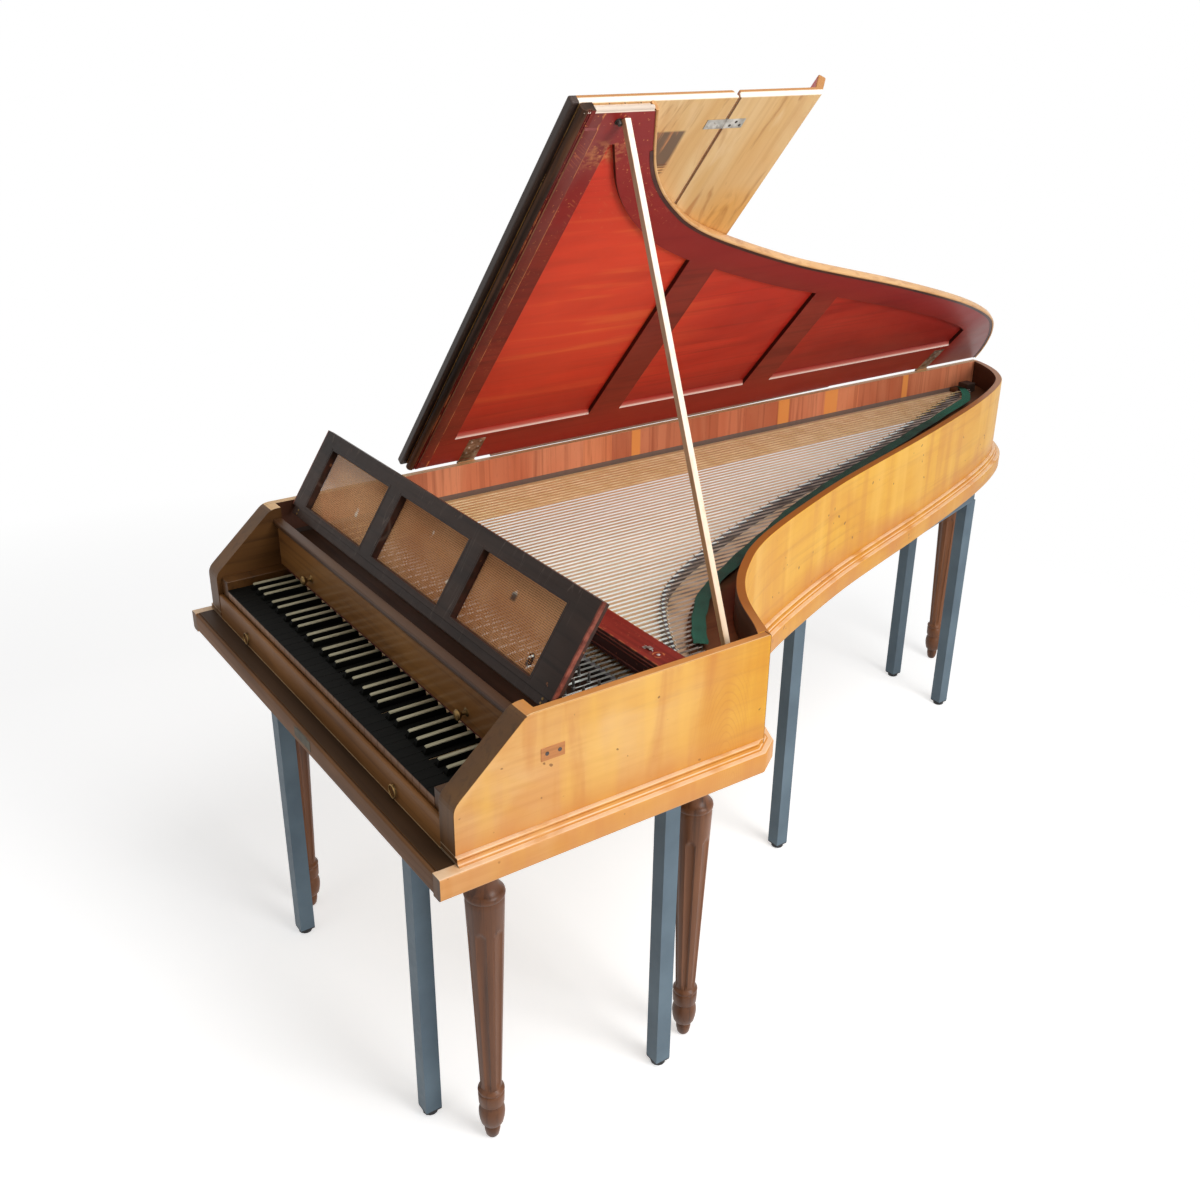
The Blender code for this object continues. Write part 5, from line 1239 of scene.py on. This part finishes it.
# %% Key slip and ring pulls
slip_low, slip_high = span("key_slip")
SLIP_Y = (0.001, 0.009)
SLIP_TOP = slip_high.z
slip_profile = [
    (SLIP_Y[0], slip_low.z), (SLIP_Y[1], slip_low.z), (SLIP_Y[1], SLIP_TOP - 0.0014),
    *arc((SLIP_Y[1] - 0.0014, SLIP_TOP - 0.0014), 0.0014, 0, 90, 3),
    *arc((SLIP_Y[0] + 0.0032, SLIP_TOP - 0.0032), 0.0032, 90, 180, 4),
]  # fmt: skip
slip = Shape().slab(slip_profile, slip_low.x, slip_high.x, axis="X")
slip_wood = wood("slip_wood", "x", (paint(70, 40, 16), paint(120, 78, 38), paint(150, 102, 56)), coat=0.05, gloss=0.15)
show("key_slip_board", slip, slip_wood, "key_slip", ["key_slip"])

PULL_PLATE = [(0.0078, 0.0), (0.0078, 0.0006), (0.0060, 0.0010), (0.0042, 0.0008), (0.0030, 0.0010), (0.0026, 0.0022),
              (0.0014, 0.0028)]  # fmt: skip
for side in ("bass", "treble"):
    low, high = span(f"slip_pull_{side}")
    pull_x = (low.x + high.x) / 2
    eye_z = high.z - 0.0015
    backs = Shape()
    backs.turned(PULL_PLATE, (pull_x, SLIP_Y[0], (low.z + high.z) / 2 + 0.001), (0, -1, 0), steps=28)
    backs.ring((pull_x, -0.0012, eye_z - 0.0012), 0.0020, 0.0008, (1, 0, 0), steps=18, sides=8)
    show(f"pull_plate_{side}", backs, old_brass, "key_slip")
    ring = Shape().ring((pull_x, (low.y + high.y) / 2, (low.z + high.z) / 2), 0.0103, 0.0013, (0, 1, 0), 40, 12)
    show(f"ring_pull_{side}", ring, old_brass, f"pull_{side}", [f"slip_pull_{side}"])
print("key slip ready")

# %% Nameboard and knobs
def nameboard_wood(top):
    """Warm brown, darker along the moulding of its top, with dark lines in the moulding's hollows."""
    made = Material("nameboard_wood")
    colour, streaks = grain(made, "x", (paint(74, 44, 22), paint(128, 84, 44), paint(164, 114, 62)), offset=2.0)
    capped = made.z.stretch(top - 0.0185, top - 0.0175)
    colour = made.mix(capped * 0.8, colour, paint(50, 30, 20))
    for line_z in (top - 0.0065, top - 0.0124, top - 0.0174):
        colour = made.mix(made.z.band(line_z, 0.0008, 0.0008) * 0.8, colour, paint(26, 15, 11))
    shine = {"Coat_Weight": (1 - capped) * 0.4, "Coat_Roughness": 0.12, "Specular_IOR_Level": 0.2}
    return made.finish(colour, streaks * 0.1 + 0.30, streaks, 0.0001, **shine)


board_low, board_high = span("nameboard")
BOARD_Y = (0.128, board_high.y)
top = board_high.z
name_profile = [
    (BOARD_Y[0], board_low.z), (BOARD_Y[1], board_low.z), (BOARD_Y[1], top - 0.001), (BOARD_Y[1] - 0.001, top),
    *arc((board_low.y + 0.0024, top - 0.0024), 0.0024, 90, 180, 4), (board_low.y, top - 0.0062),
    (board_low.y + 0.0014, top - 0.0068), *arc((board_low.y + 0.0038, top - 0.0092), 0.0022, 110, 230, 4),
    (board_low.y + 0.0038, top - 0.0122), *arc((board_low.y + 0.0070, top - 0.0146), 0.0018, 110, 230, 4),
    (BOARD_Y[0], top - 0.0170),
]  # fmt: skip
name = Shape().slab(name_profile, board_low.x, board_high.x, axis="X")
name_look = nameboard_wood(top)
show("nameboard_wood", name, name_look, "nameboard", ["nameboard"])

KNOB = [(0.0072, 0.0), (0.0072, 0.0008), (0.0060, 0.0016), (0.0040, 0.0020), (0.0032, 0.0050), (0.0034, 0.0090),
        (0.0060, 0.0110), (0.0086, 0.0135), (0.0092, 0.0158), (0.0080, 0.0182), (0.0050, 0.0194),
        (0.0020, 0.0198)]  # fmt: skip
for side in ("bass", "treble"):
    low, high = span(f"nameboard_knob_{side}")
    middle_x, middle_z = (low.x + high.x) / 2, (low.z + high.z) / 2
    knob = Shape().turned(KNOB, (middle_x, BOARD_Y[0] + 0.0001, middle_z), (0, -1, 0), steps=28)
    show(f"turned_knob_{side}", knob, old_brass, "nameboard", [f"nameboard_knob_{side}"])

strip = []
for k in range(121):
    x = -KEYBOARD_HALF + 2 * KEYBOARD_HALF * k / 120
    wave = 0.0003 * math.sin(k * 1.7)
    foot_z = board_low.z - 0.0012 + wave
    strip.append([(x, BOARD_Y[0] - 0.0008 + wave / 2, foot_z + 0.0022), (x, BOARD_Y[0] - 0.0010, foot_z),
                  (x, BOARD_Y[0] + 0.0030, foot_z - 0.0002), (x, BOARD_Y[0] + 0.0080, foot_z)])  # fmt: skip
ribbon = show("nameboard_ribbon", Shape().rows(strip), red_cloth, "nameboard")
print("nameboard ready")

# %% [markdown]
# ## Dampers and their cover
#
# The damper rail is a comb over the strings, and a red board covers it. A small brass hook that
# turns on a pin holds the cover at the treble end.

# %% Dampers and cover
keep("damper_rail", blackened_x, 0.0004)
keep("damper_cover", cover_look, 0.0016, 3)
cover_low, cover_high = span("damper_cover")
lines = Shape()
for line_z in (cover_high.z - 0.006, cover_high.z - 0.013, cover_low.z + 0.008):
    lines.slab(arc((cover_low.y, line_z), 0.0009, 90, 270, 4), cover_low.x + 0.002, cover_high.x - 0.002, axis="X")
line_wood = wood("line_wood", "x", (paint(60, 22, 16), paint(112, 44, 32), paint(150, 70, 48)))
show("cover_beads", lines, line_wood, "damper_cover")
hook = Shape()
top = cover_high.z
hook.turned([(0.0030, 0), (0.0030, 0.0006), (0.0018, 0.0012), (0.0008, 0.0014)], (0.425, 0.382, top), steps=18)
hook.tube([(0.412, 0.381, top + 0.0010), (0.405, 0.381, top + 0.0026), (0.398, 0.380, top + 0.0026),
           (0.394, 0.379, top + 0.0008)], 0.0012, sides=10)  # fmt: skip
hook.box((0.391, 0.398), (0.376, 0.384), (top, top + 0.0010))
hook.box((0.400, 0.409), (0.3775, 0.3845), (top + 0.0022, top + 0.0040))
show("cover_hook", hook, iron, "damper_cover", bevel=0.0003)
print("cover ready")

# %% [markdown]
# ## Music desk
#
# The desk is a dark frame with three windows. A small bead runs round each window, and the open
# canvas is stretched over the frame's back as one piece.

# %% Music desk
keep("desk_frame", desk_look, 0.0016, 3)
desk_face = 0.0035
for_beads = Shape(DESK)
windows = outline("desk_frame", DESK, desk_face)[1:]
for window in windows:
    xs = sorted(point.x for point in window)
    ys = sorted(point.y for point in window)
    gap = 0.0045
    path = [(xs[0] - gap, ys[0] - gap / 2), (xs[-1] + gap, ys[0] - gap / 2), (xs[-1] + gap, ys[-1] + gap), (xs[0] - gap, ys[-1] + gap)]
    for start, end in zip(path, path[1:] + path[:1]):
        for_beads.tube([(*start, desk_face - 0.0006), (*end, desk_face - 0.0006)], 0.0011, sides=8)
show("desk_beads", for_beads, desk_look, "desk")
frame_half = span("desk_frame")[1].x - 0.014
foot_rail = Shape(DESK).box((-frame_half, frame_half), (-0.0205, -0.0046), (-0.0080, 0.0022))
show("desk_foot_rail", foot_rail, desk_look, "desk", bevel=0.0016, segments=3)
desk_screws = Shape(DESK)
for x in (frame_half - 0.012, 0.020 - frame_half):
    for y in (-0.016, -0.009):
        desk_screws.turned([(0.0024, 0), (0.0023, 0.0006), (0.0012, 0.0010)], (x, y, 0.0021), (0, 0, 1), steps=12)
show("desk_screws", desk_screws, old_brass, "desk")
print("windows:", len(windows))

DESK_BACK = desk_face - 0.013 - 0.0009
cloth_half = (span("desk_cloth")[1].x - span("desk_cloth")[0].x) / 2
cloth_y = (-0.003, 0.142)
rows = []
for j in range(25):
    y = cloth_y[0] + (cloth_y[1] - cloth_y[0]) * j / 24
    row = []
    for i in range(101):
        x = cloth_half * (2 * i / 100 - 1)
        sag = 0.0005 * math.sin(x * 41) * math.sin(y * 60) + 0.0002 * math.sin(x * 130 + y * 50)
        row.append((x, y, DESK_BACK + sag))
    rows.append(row)
canvas_sheet = show("desk_canvas", Shape(DESK).rows(rows), desk_canvas, "desk", ["desk_cloth"])
print("desk ready")

# %% [markdown]
# ## Lid
#
# The lid is a frame with three sunk panels. The bare plate is drawn with its panels pressed in, then
# come the rail with its rounded nose in front, a batten behind it, the honey-coloured moulding that
# follows the curve outside the case, and a thin dark strip just inside that moulding, which is painted
# shadow. A dark strip along the spine edge is painted shade under the lid's edge, and the treble bar's
# near-white colour is a painted highlight.

# %% Lid
LID_FRONT = 0.426
RAIL_BACK = 0.4495
EDGE_WIDTH = 0.0055
LEAF_END = 0.0828
BED_DEPTH = 0.0009
BED_SLOPE = 0.0017
LID_TREBLE_U = CASE_HALF - LID_AXIS_X
lid_plan = outline("lid", LID, LID_HIGH)[0]
panels = [smoothed(loop) for loop in outline("lid", LID, LID_LOW + 0.004)[:3]]
lid_loop = route(smoothed(lid_plan), (LID_TREBLE_U, LID_FRONT), (LID_TREBLE_U, LID_FRONT + 0.1))
curve = [point for point in lid_loop if point.y > LID_FRONT + 0.01]
print("lid:", len(lid_loop), "points,", len(panels), "panels")


def carved(place, border, hollows, face, back):
    """A plate whose face has hollows pressed into it: each has a mouth, a floor and a depth."""
    shape = Shape(place)
    mesh = shape.mesh

    def loop_at(loop, height):
        return shape.corners([(u, y, height) for u, y in loop])

    def walls(first, second):
        for i in range(len(first)):
            j = (i + 1) % len(first)
            mesh.faces.new((first[i], first[j], second[j], second[i]))

    outer_face, outer_back = loop_at(border, face), loop_at(border, back)
    walls(outer_face, outer_back)
    mesh.faces.new(outer_back)
    rims = [outer_face]
    for mouth_plan, floor_plan, depth in hollows:
        mouth, floor = loop_at(mouth_plan, face), loop_at(floor_plan, face + depth)
        walls(mouth, floor)
        mesh.faces.new(floor)
        rims.append(mouth)
    edges = [mesh.edges.get((loop[i - 1], loop[i])) for loop in rims for i in range(len(loop))]
    bmesh.ops.triangle_fill(mesh, use_beauty=True, edges=edges)
    return shape


low_u = min(point.x for point in lid_plan)
front_corner = Vector((LID_TREBLE_U, LID_FRONT))
inner_curve = moved([front_corner, *curve], -EDGE_WIDTH)[1:]
plate_border = [Vector((low_u, RAIL_BACK)), Vector((LID_TREBLE_U - EDGE_WIDTH, RAIL_BACK))]
plate_border += inner_curve
hollows = []
for panel in panels:
    spine_side = min(point.x for point in panel) + 0.001
    floor_plan = [point + Vector((PANEL_SLOPE if point.x < spine_side else 0, 0)) for point in panel]
    hollows.append((panel, floor_plan, PANEL_DEPTH))
for low, high in (span("lid_hinge_front"), span("lid_hinge_rear")):
    plans = []
    for inset in (0.0, BED_SLOPE):
        ends = low_u + 0.0008 + inset, LEAF_END - inset
        sides = low.y - 0.0006 + inset, high.y + 0.0006 - inset
        plans.append([(ends[0], sides[0]), (ends[1], sides[0]), (ends[1], sides[1]), (ends[0], sides[1])])
    hollows.append((*plans, BED_DEPTH))
lid_plate = carved(LID, plate_border, hollows, LID_LOW + 0.0002, LID_HIGH)
show("lid_plate", lid_plate, lid_look, "lid", ["lid"], bevel=0.0014, segments=2)

nose = 0.008
rail_profile = [
    *((LID_FRONT + nose - out, LID_LOW + nose + z) for out, z in arc((0, 0), nose, 90, -90, 10)),
    (0.4365, LID_LOW), (0.4372, LID_LOW + 0.0020), (0.4384, LID_LOW + 0.0022), (0.4390, LID_LOW + 0.0006),
    (0.4402, LID_LOW + 0.0006), (0.4408, LID_LOW + 0.0018), (0.4420, LID_LOW + 0.0018), (0.4424, LID_LOW),
    (RAIL_BACK, LID_LOW), (RAIL_BACK, LID_HIGH),
]  # fmt: skip
rail = Shape(LID).slab(rail_profile, low_u, LID_TREBLE_U, axis="X")
show("lid_front_rail", rail, lid_front_look, "lid")
batten_profile = [
    (0.4430, LID_LOW), (0.4436, LID_LOW - 0.0021), (0.4446, LID_LOW - 0.0026), (0.4664, LID_LOW - 0.0026),
    (0.4676, LID_LOW - 0.0020), (0.4682, LID_LOW),
]  # fmt: skip
batten = Shape(LID).rows(
    [[(u, y, w if full else LID_LOW) for y, w in batten_profile] for u, full in
     ((0.030, False), (0.033, True), (0.931, True), (0.934, False))], closed=True, capped=True)  # fmt: skip
show("lid_front_batten", batten, lid_look, "lid")

strip_profile = [
    (-EDGE_WIDTH, LID_HIGH), (-EDGE_WIDTH, LID_LOW + 0.001), (-EDGE_WIDTH + 0.0006, LID_LOW - 0.0016),
    *arc((-0.0030, LID_LOW + 0.0004), 0.0026, 230, 350, 5), (-0.0006, LID_LOW + 0.0040), (0.0, LID_LOW + 0.0060),
    (0.0, LID_HIGH - 0.003), (-0.0010, LID_HIGH - 0.0008), (-0.0026, LID_HIGH),
]  # fmt: skip
round_curve = [point for point in curve if point.y > 0.545 and point.x > low_u + 0.0005]
show("lid_curve_moulding", Shape(LID).moulding(round_curve, strip_profile), lid_edge_look, "lid")
shadow_profile = [(-EDGE_WIDTH - 0.0062, LID_LOW), (-EDGE_WIDTH - 0.0062, LID_LOW - 0.0004),
                  (-EDGE_WIDTH + 0.0002, LID_LOW - 0.0004), (-EDGE_WIDTH + 0.0002, LID_LOW)]  # fmt: skip
line_curve = [point for point in round_curve if point.y > 0.60]
show("lid_curve_line", Shape(LID).moulding(line_curve, shadow_profile), lid_shadow_look, "lid")

treble_profile = [
    *((LID_TREBLE_U - 0.0045 + out, LID_LOW + 0.0060 + z) for out, z in arc((0, 0), 0.0045, -90, 90, 8)),
    (LID_TREBLE_U - EDGE_WIDTH - 0.0001, LID_HIGH), (LID_TREBLE_U - EDGE_WIDTH - 0.0001, LID_LOW),
]  # fmt: skip
treble_bar = [(u, w) for u, w in treble_profile]
bar = Shape(LID)
bar.rows([[(u, y, w) for u, w in treble_bar] for y in (LID_FRONT + 0.004, 0.557)], closed=True, capped=True)
show("lid_treble_bar", bar, lid_bar_highlight_look, "lid", bevel=0.0012)
nails = Shape(LID)
for nail_y in (0.449, 0.478, 0.506, 0.535):
    nails.turned([(0.0011, 0), (0.0011, 0.0002)], (LID_TREBLE_U - 0.0002, nail_y, 0.0085), (1, 0, 0), steps=10)
show("lid_bar_nails", nails, dark_iron, "lid")
# A dark strip along the lid's spine edge closes the gap above the rim: it stands for the shade under the lid's edge.
hinge_shade_strip = Shape(LID)
rows = []
for k in range(41):
    y = 0.620 + 0.980 * k / 40
    drop = 0.0056 - 0.0030 * max(k - 28, 0) / 12
    rows.append([(0.0008, y, -drop), (0.0046, y, -drop), (0.0046, y, min(-0.0034, 0.0002 - drop)), (0.0053, y, -0.0030),
                 (0.0053, y, 0.0040), (0.0008, y, 0.0040)])  # fmt: skip
hinge_shade_strip.rows(rows, closed=True, capped=True)
show("lid_hinge_edge_shade", hinge_shade_strip, hinge_edge_shade_look, "lid")
print("lid ready")

# %% [markdown]
# Two iron straps hinge the lid to the spine. Each has a leaf let into the lid, a row of screws and a
# knuckle on the axis. The flaps' own hinge sits on their outer faces and bridges the joint.


# %% Hinges
def screw(shape, place, along, radius=0.0028):
    profile = [(radius, 0), (radius * 0.96, 0.0005), (radius * 0.6, 0.0009), (radius * 0.1, 0.0010)]
    return shape.turned(profile, place, along, steps=14)


for number, name in enumerate(("lid_hinge_front", "lid_hinge_rear")):
    keep(name, hinge_iron, 0.0004)
    low, high = span(name)
    middle = (low.y + high.y) / 2
    leaf_u = low_u + 0.0008 + BED_SLOPE, LEAF_END - BED_SLOPE
    leaf_w = LID_LOW + 0.0004, LID_LOW + BED_DEPTH - 0.0001
    leaf = Shape(LID).box(leaf_u, (low.y + 0.0012, high.y - 0.0012), leaf_w)
    show(f"{name}_leaf", leaf, hinge_iron, "lid", bevel=0.0001)
    knuckles = Shape(LID)
    for k in range(5):
        y = low.y + (high.y - low.y) * (k + 0.08) / 5
        length = (high.y - low.y) * 0.84 / 5
        knuckles.turned([(0.0036, 0.0), (0.0036, length)], (0, y, 0), (0, 1, 0), steps=14)
    screws = Shape(LID)
    for u in (0.030, 0.050, 0.070):
        for y in (middle - 0.010, middle + 0.010):
            screw(screws, (u, y, LID_LOW + 0.0005), (0, 0, -1), 0.0030)
    show(f"{name}_knuckles", knuckles, hinge_iron, "case", bevel=0.0004)
    show(f"{name}_screws", screws, iron, "lid")

FLAP_JOINT_Y = joints["fall_flap_hinge"]["pos_m"][1] - SHIFT.y
LEAF_U = (0.902, 0.921)
LEAF_REACH = 0.039
flap_face = 0.0127
for body, sign in (("front_flap", -1), ("fall_flap", 1)):
    leaf = Shape(LID)
    near, far = FLAP_JOINT_Y + sign * 0.0016, FLAP_JOINT_Y + sign * LEAF_REACH
    leaf.box(LEAF_U, sorted((near, far)), (flap_face - 0.0012, flap_face + 0.0002))
    show(f"flap_leaf_{body}", leaf, iron, body, bevel=0.0004)
    heads = Shape(LID)
    for share, u in ((0.30, 0.908), (0.55, 0.915), (0.82, 0.908)):
        screw(heads, (u, FLAP_JOINT_Y + sign * LEAF_REACH * share, flap_face - 0.0011), (0, 0, -1), 0.0026)
    show(f"flap_screws_{body}", heads, dark_iron if sign > 0 else iron, body)
barrel = Shape(LID).turned([(0.0020, 0), (0.0020, 0.019)], (LEAF_U[0], FLAP_JOINT_Y, flap_face), (1, 0, 0), 14)
show("flap_barrel", barrel, iron, "front_flap", ["flap_hinge_treble"], bevel=0.0003)
keep("front_flap", flap_look, 0.0032, 4)
keep("fall_flap", flap_look, 0.0026, 3)
print("hinges and flaps ready")

# %% [markdown]
# ## Prop stick
#
# A plain stick of pale wood holds the lid. Its upper end rests against the lid beside a round bolt.

# %% Prop stick
def pale_stick():
    """Pale, planed wood, browner on the side that faces the player as painted shade, and more honey-coloured lower
    down.
    """
    made = Material("stick_wood")
    colour, streaks = grain(made, "z", (paint(214, 186, 150), paint(242, 230, 212), paint(250, 242, 230)))
    brown, brown_streaks = grain(made, "z", (paint(120, 70, 30), paint(168, 104, 52), paint(190, 126, 70)))
    # Browner where the side faces the player: painted shade.
    colour = made.mix(made.ny.stretch(-0.4, -0.6) * 0.85, colour, brown)
    # More honey-coloured towards the lower end.
    lower_stretch = made.z.stretch(1.25, 0.90)
    colour = made.mix(lower_stretch * 0.55, colour, paint(224, 176, 118))
    return made.finish(colour, streaks * 0.2 + 0.4, streaks, 0.0001)


stick_wood = pale_stick()
keep("prop_stick", stick_wood, 0.0010)
bolt = Shape(LID)
bolt.turned([(0.0062, 0), (0.0062, 0.0010), (0.0040, 0.0016), (0.0040, 0.0060), (0.0030, 0.0078), (0.0008, 0.0084)],
            (0.944, 0.4985, LID_LOW), (0, 0, -1), steps=20)  # fmt: skip
show("prop_bolt", bolt, dark_iron, "lid")
print("prop ready")

# %% [markdown]
# ## Legs
#
# The turned legs have six flutes with round ends. A leg is a lathe shape whose radius is let in
# wherever a flute passes: the depth follows a half circle across the flute and fades at its ends.

# %% Fluted legs
LEG_PROFILE = [
    (0.0215, 0.6247), (0.0205, 0.570), (0.0204, 0.545), (0.0215, 0.532), (0.0226, 0.5270), (0.0255, 0.5180),
    (0.0290, 0.5150), (0.0318, 0.5115), (0.0325, 0.5080), (0.0320, 0.5045), (0.0300, 0.5020), (0.0306, 0.4990),
    (0.0312, 0.4950), (0.0178, 0.1130), (0.0196, 0.1108), (0.0222, 0.1080), (0.0226, 0.1050), (0.0214, 0.1025),
    (0.0206, 0.1010), (0.0220, 0.0990), (0.0222, 0.0960), (0.0216, 0.0790), (0.0205, 0.0765), (0.0188, 0.0745),
    (0.0186, 0.0720), (0.0206, 0.0680), (0.0220, 0.0610), (0.0222, 0.0540), (0.0212, 0.0440), (0.0190, 0.0340),
    (0.0150, 0.0282), (0.0128, 0.0262), (0.0136, 0.0240), (0.0134, 0.0160), (0.0112, 0.0050), (0.0085, 0.0008),
    (0.0030, 0.0),
]  # fmt: skip
FLUTE_Z = (0.117, 0.445)
FLUTE_HALF = (0.0048, 0.0085)
FLUTE_DEPTH = 0.0040
FLUTES = 6
AROUND = 120


def fluted_profile():
    """The leg's profile with many heights along the fluted shaft."""
    result = []
    for (r0, z0), (r1, z1) in zip(LEG_PROFILE, LEG_PROFILE[1:]):
        steps = 90 if z0 - z1 > 0.2 else 1
        result += [(r0 + (r1 - r0) * k / steps, z0 + (z1 - z0) * k / steps) for k in range(steps)]
    return [*result, LEG_PROFILE[-1]]


def flute(z, turn, radius):
    """How far the surface is let in at a height and an angle."""
    share = (z - FLUTE_Z[0]) / (FLUTE_Z[1] - FLUTE_Z[0])
    if not 0 <= share <= 1:
        return 0.0
    half = FLUTE_HALF[0] + (FLUTE_HALF[1] - FLUTE_HALF[0]) * share
    end = min(z - FLUTE_Z[0], FLUTE_Z[1] - z)
    if end < half:
        half *= math.sqrt(max(1 - (1 - end / half) ** 2, 0.0))
    step = math.tau / FLUTES
    across = abs((turn + step / 2) % step - step / 2) * radius
    if across >= half:
        return 0.0
    return FLUTE_DEPTH * (half / FLUTE_HALF[1]) ** 0.5 * math.sqrt(1 - (across / half) ** 2) ** 0.8


for name in ("front_bass", "front_treble", "cheek", "tail"):
    low, high = span(f"leg_{name}")
    middle = (low + high) / 2
    rows = []
    for radius, z in fluted_profile():
        turns = [math.tau * k / AROUND for k in range(AROUND)]
        reaches = [(radius - flute(z, t, radius), t) for t in turns]
        rows.append([(middle.x + r * math.cos(t + 0.25), middle.y + r * math.sin(t + 0.25), z) for r, t in reaches])
    leg = Shape().rows(rows, closed=True, capped=True)
    show(f"fluted_leg_{name}", leg, walnut_z, replaces=[f"leg_{name}"])
print("legs ready")

# %% [markdown]
# ## Studio
#
# A pale floor runs out to white, the world is white for the camera, and large soft lights stand
# round the instrument: the brightest on the treble side, where the photographer had theirs.

# %% Floor and background
bpy.ops.mesh.primitive_grid_add(x_subdivisions=4, y_subdivisions=4, size=60, location=(0, 0, -0.0005))
floor = bpy.context.object
floor.name = "studio_floor"
floor_look = Material("studio_floor")
distance = floor_look.position.made.node(
    "ShaderNodeVectorMath", {"operation": "LENGTH"}, {0: floor_look.position}, output=1
)
tone = floor_look.noise((0.6, 0.6, 0.6), detail=2.0)
near = distance.stretch(3.0, 1.7)
base = floor_look.mix(tone, paint(234, 234, 234), paint(238, 238, 238))
path = floor_look.node("ShaderNodeLightPath").socket.node.outputs
looked_at = Wire(floor_look, path["Is Camera Ray"]).math("MAXIMUM", Wire(floor_look, path["Is Glossy Ray"]))
looked_at = looked_at.math("MAXIMUM", Wire(floor_look, path["Is Transmission Ray"]))
black = paint(0, 0, 0)
glow = floor_look.mix(near, paint(255, 255, 255), paint(190, 190, 190))
pale = floor_look.mix((1 - near) * looked_at, base, black)
floor_look.finish(pale, 0.8, Emission_Strength=1.0, Specular_IOR_Level=0.0)
floor_look.feed(floor_look.shader.inputs["Emission Color"], floor_look.mix(looked_at, black, glow))
floor.data.materials.append(floor_look.material)

world = bpy.data.worlds.new("studio")
bpy.context.scene.world = world
world.use_nodes = True
sky = world.node_tree
background = sky.nodes["Background"]
background.inputs["Color"].default_value = (1, 1, 1, 1)
background.inputs["Strength"].default_value = 0.30
white = sky.nodes.new("ShaderNodeBackground")
path = sky.nodes.new("ShaderNodeLightPath")
blend = sky.nodes.new("ShaderNodeMixShader")
seen = path.outputs["Is Camera Ray"]
for ray in ("Is Glossy Ray", "Is Transmission Ray"):
    either = sky.nodes.new("ShaderNodeMath")
    either.operation = "MAXIMUM"
    sky.links.new(seen, either.inputs[0])
    sky.links.new(path.outputs[ray], either.inputs[1])
    seen = either.outputs[0]
sky.links.new(seen, blend.inputs[0])
sky.links.new(background.outputs[0], blend.inputs[1])
sky.links.new(white.outputs[0], blend.inputs[2])
sky.links.new(blend.outputs[0], sky.nodes["World Output"].inputs["Surface"])
white.inputs["Color"].default_value = (1, 1, 1, 1)
white.inputs["Strength"].default_value = 1.0


def area_light(name, location, target, size, power):
    light = bpy.data.lights.new(name, "AREA")
    light.shape = "DISK"
    light.size = size
    light.energy = power
    lamp = bpy.data.objects.new(name, light)
    bpy.context.scene.collection.objects.link(lamp)
    lamp.location = location
    lamp.visible_camera = False
    aim = Vector(target) - Vector(location)
    lamp.rotation_euler = aim.to_track_quat("-Z", "Y").to_euler()
    return lamp


area_light("key_light", (4.0, 0.6, 2.1), (0, 0, 0.8), 2.2, 100)
area_light("front_light", (0.6, -4.2, 2.6), (0, -0.4, 0.8), 2.8, 10)
area_light("top_light", (1.8, -0.1, 4.1), (0, 0, 0.8), 2.6, 72)
bpy.context.scene.view_settings.view_transform = "Standard"
print("studio ready")

# %% [markdown]
# The camera stands where the photograph was taken from: 55 degrees to the right of the keyboard's
# middle line and 25 degrees above it, with the small roll that the photograph has.

# %% Camera
CAMERA_PLACE = DESIGN @ Vector((1.7522, -0.6516, 1.7328))
AZIMUTH = math.radians(55.09)
ELEVATION = math.radians(25.15)
ROLL = math.radians(0.675)
back = Vector(
    (math.sin(AZIMUTH) * math.cos(ELEVATION), -math.cos(AZIMUTH) * math.cos(ELEVATION), math.sin(ELEVATION))
)
camera_data = bpy.data.cameras.new("camera")
camera_data.lens = 38.12
camera_data.sensor_width = 36.0
camera = bpy.data.objects.new("camera", camera_data)
bpy.context.scene.collection.objects.link(camera)
right = Vector((0, 0, 1)).cross(back).normalized()
upright = Matrix((right, back.cross(right), back)).transposed()
tilted = upright @ Matrix.Rotation(ROLL, 3, "Z")
camera.matrix_world = Matrix.Translation(CAMERA_PLACE) @ tilted.to_4x4()
bpy.context.scene.camera = camera
print("camera at", tuple(round(value, 3) for value in CAMERA_PLACE))
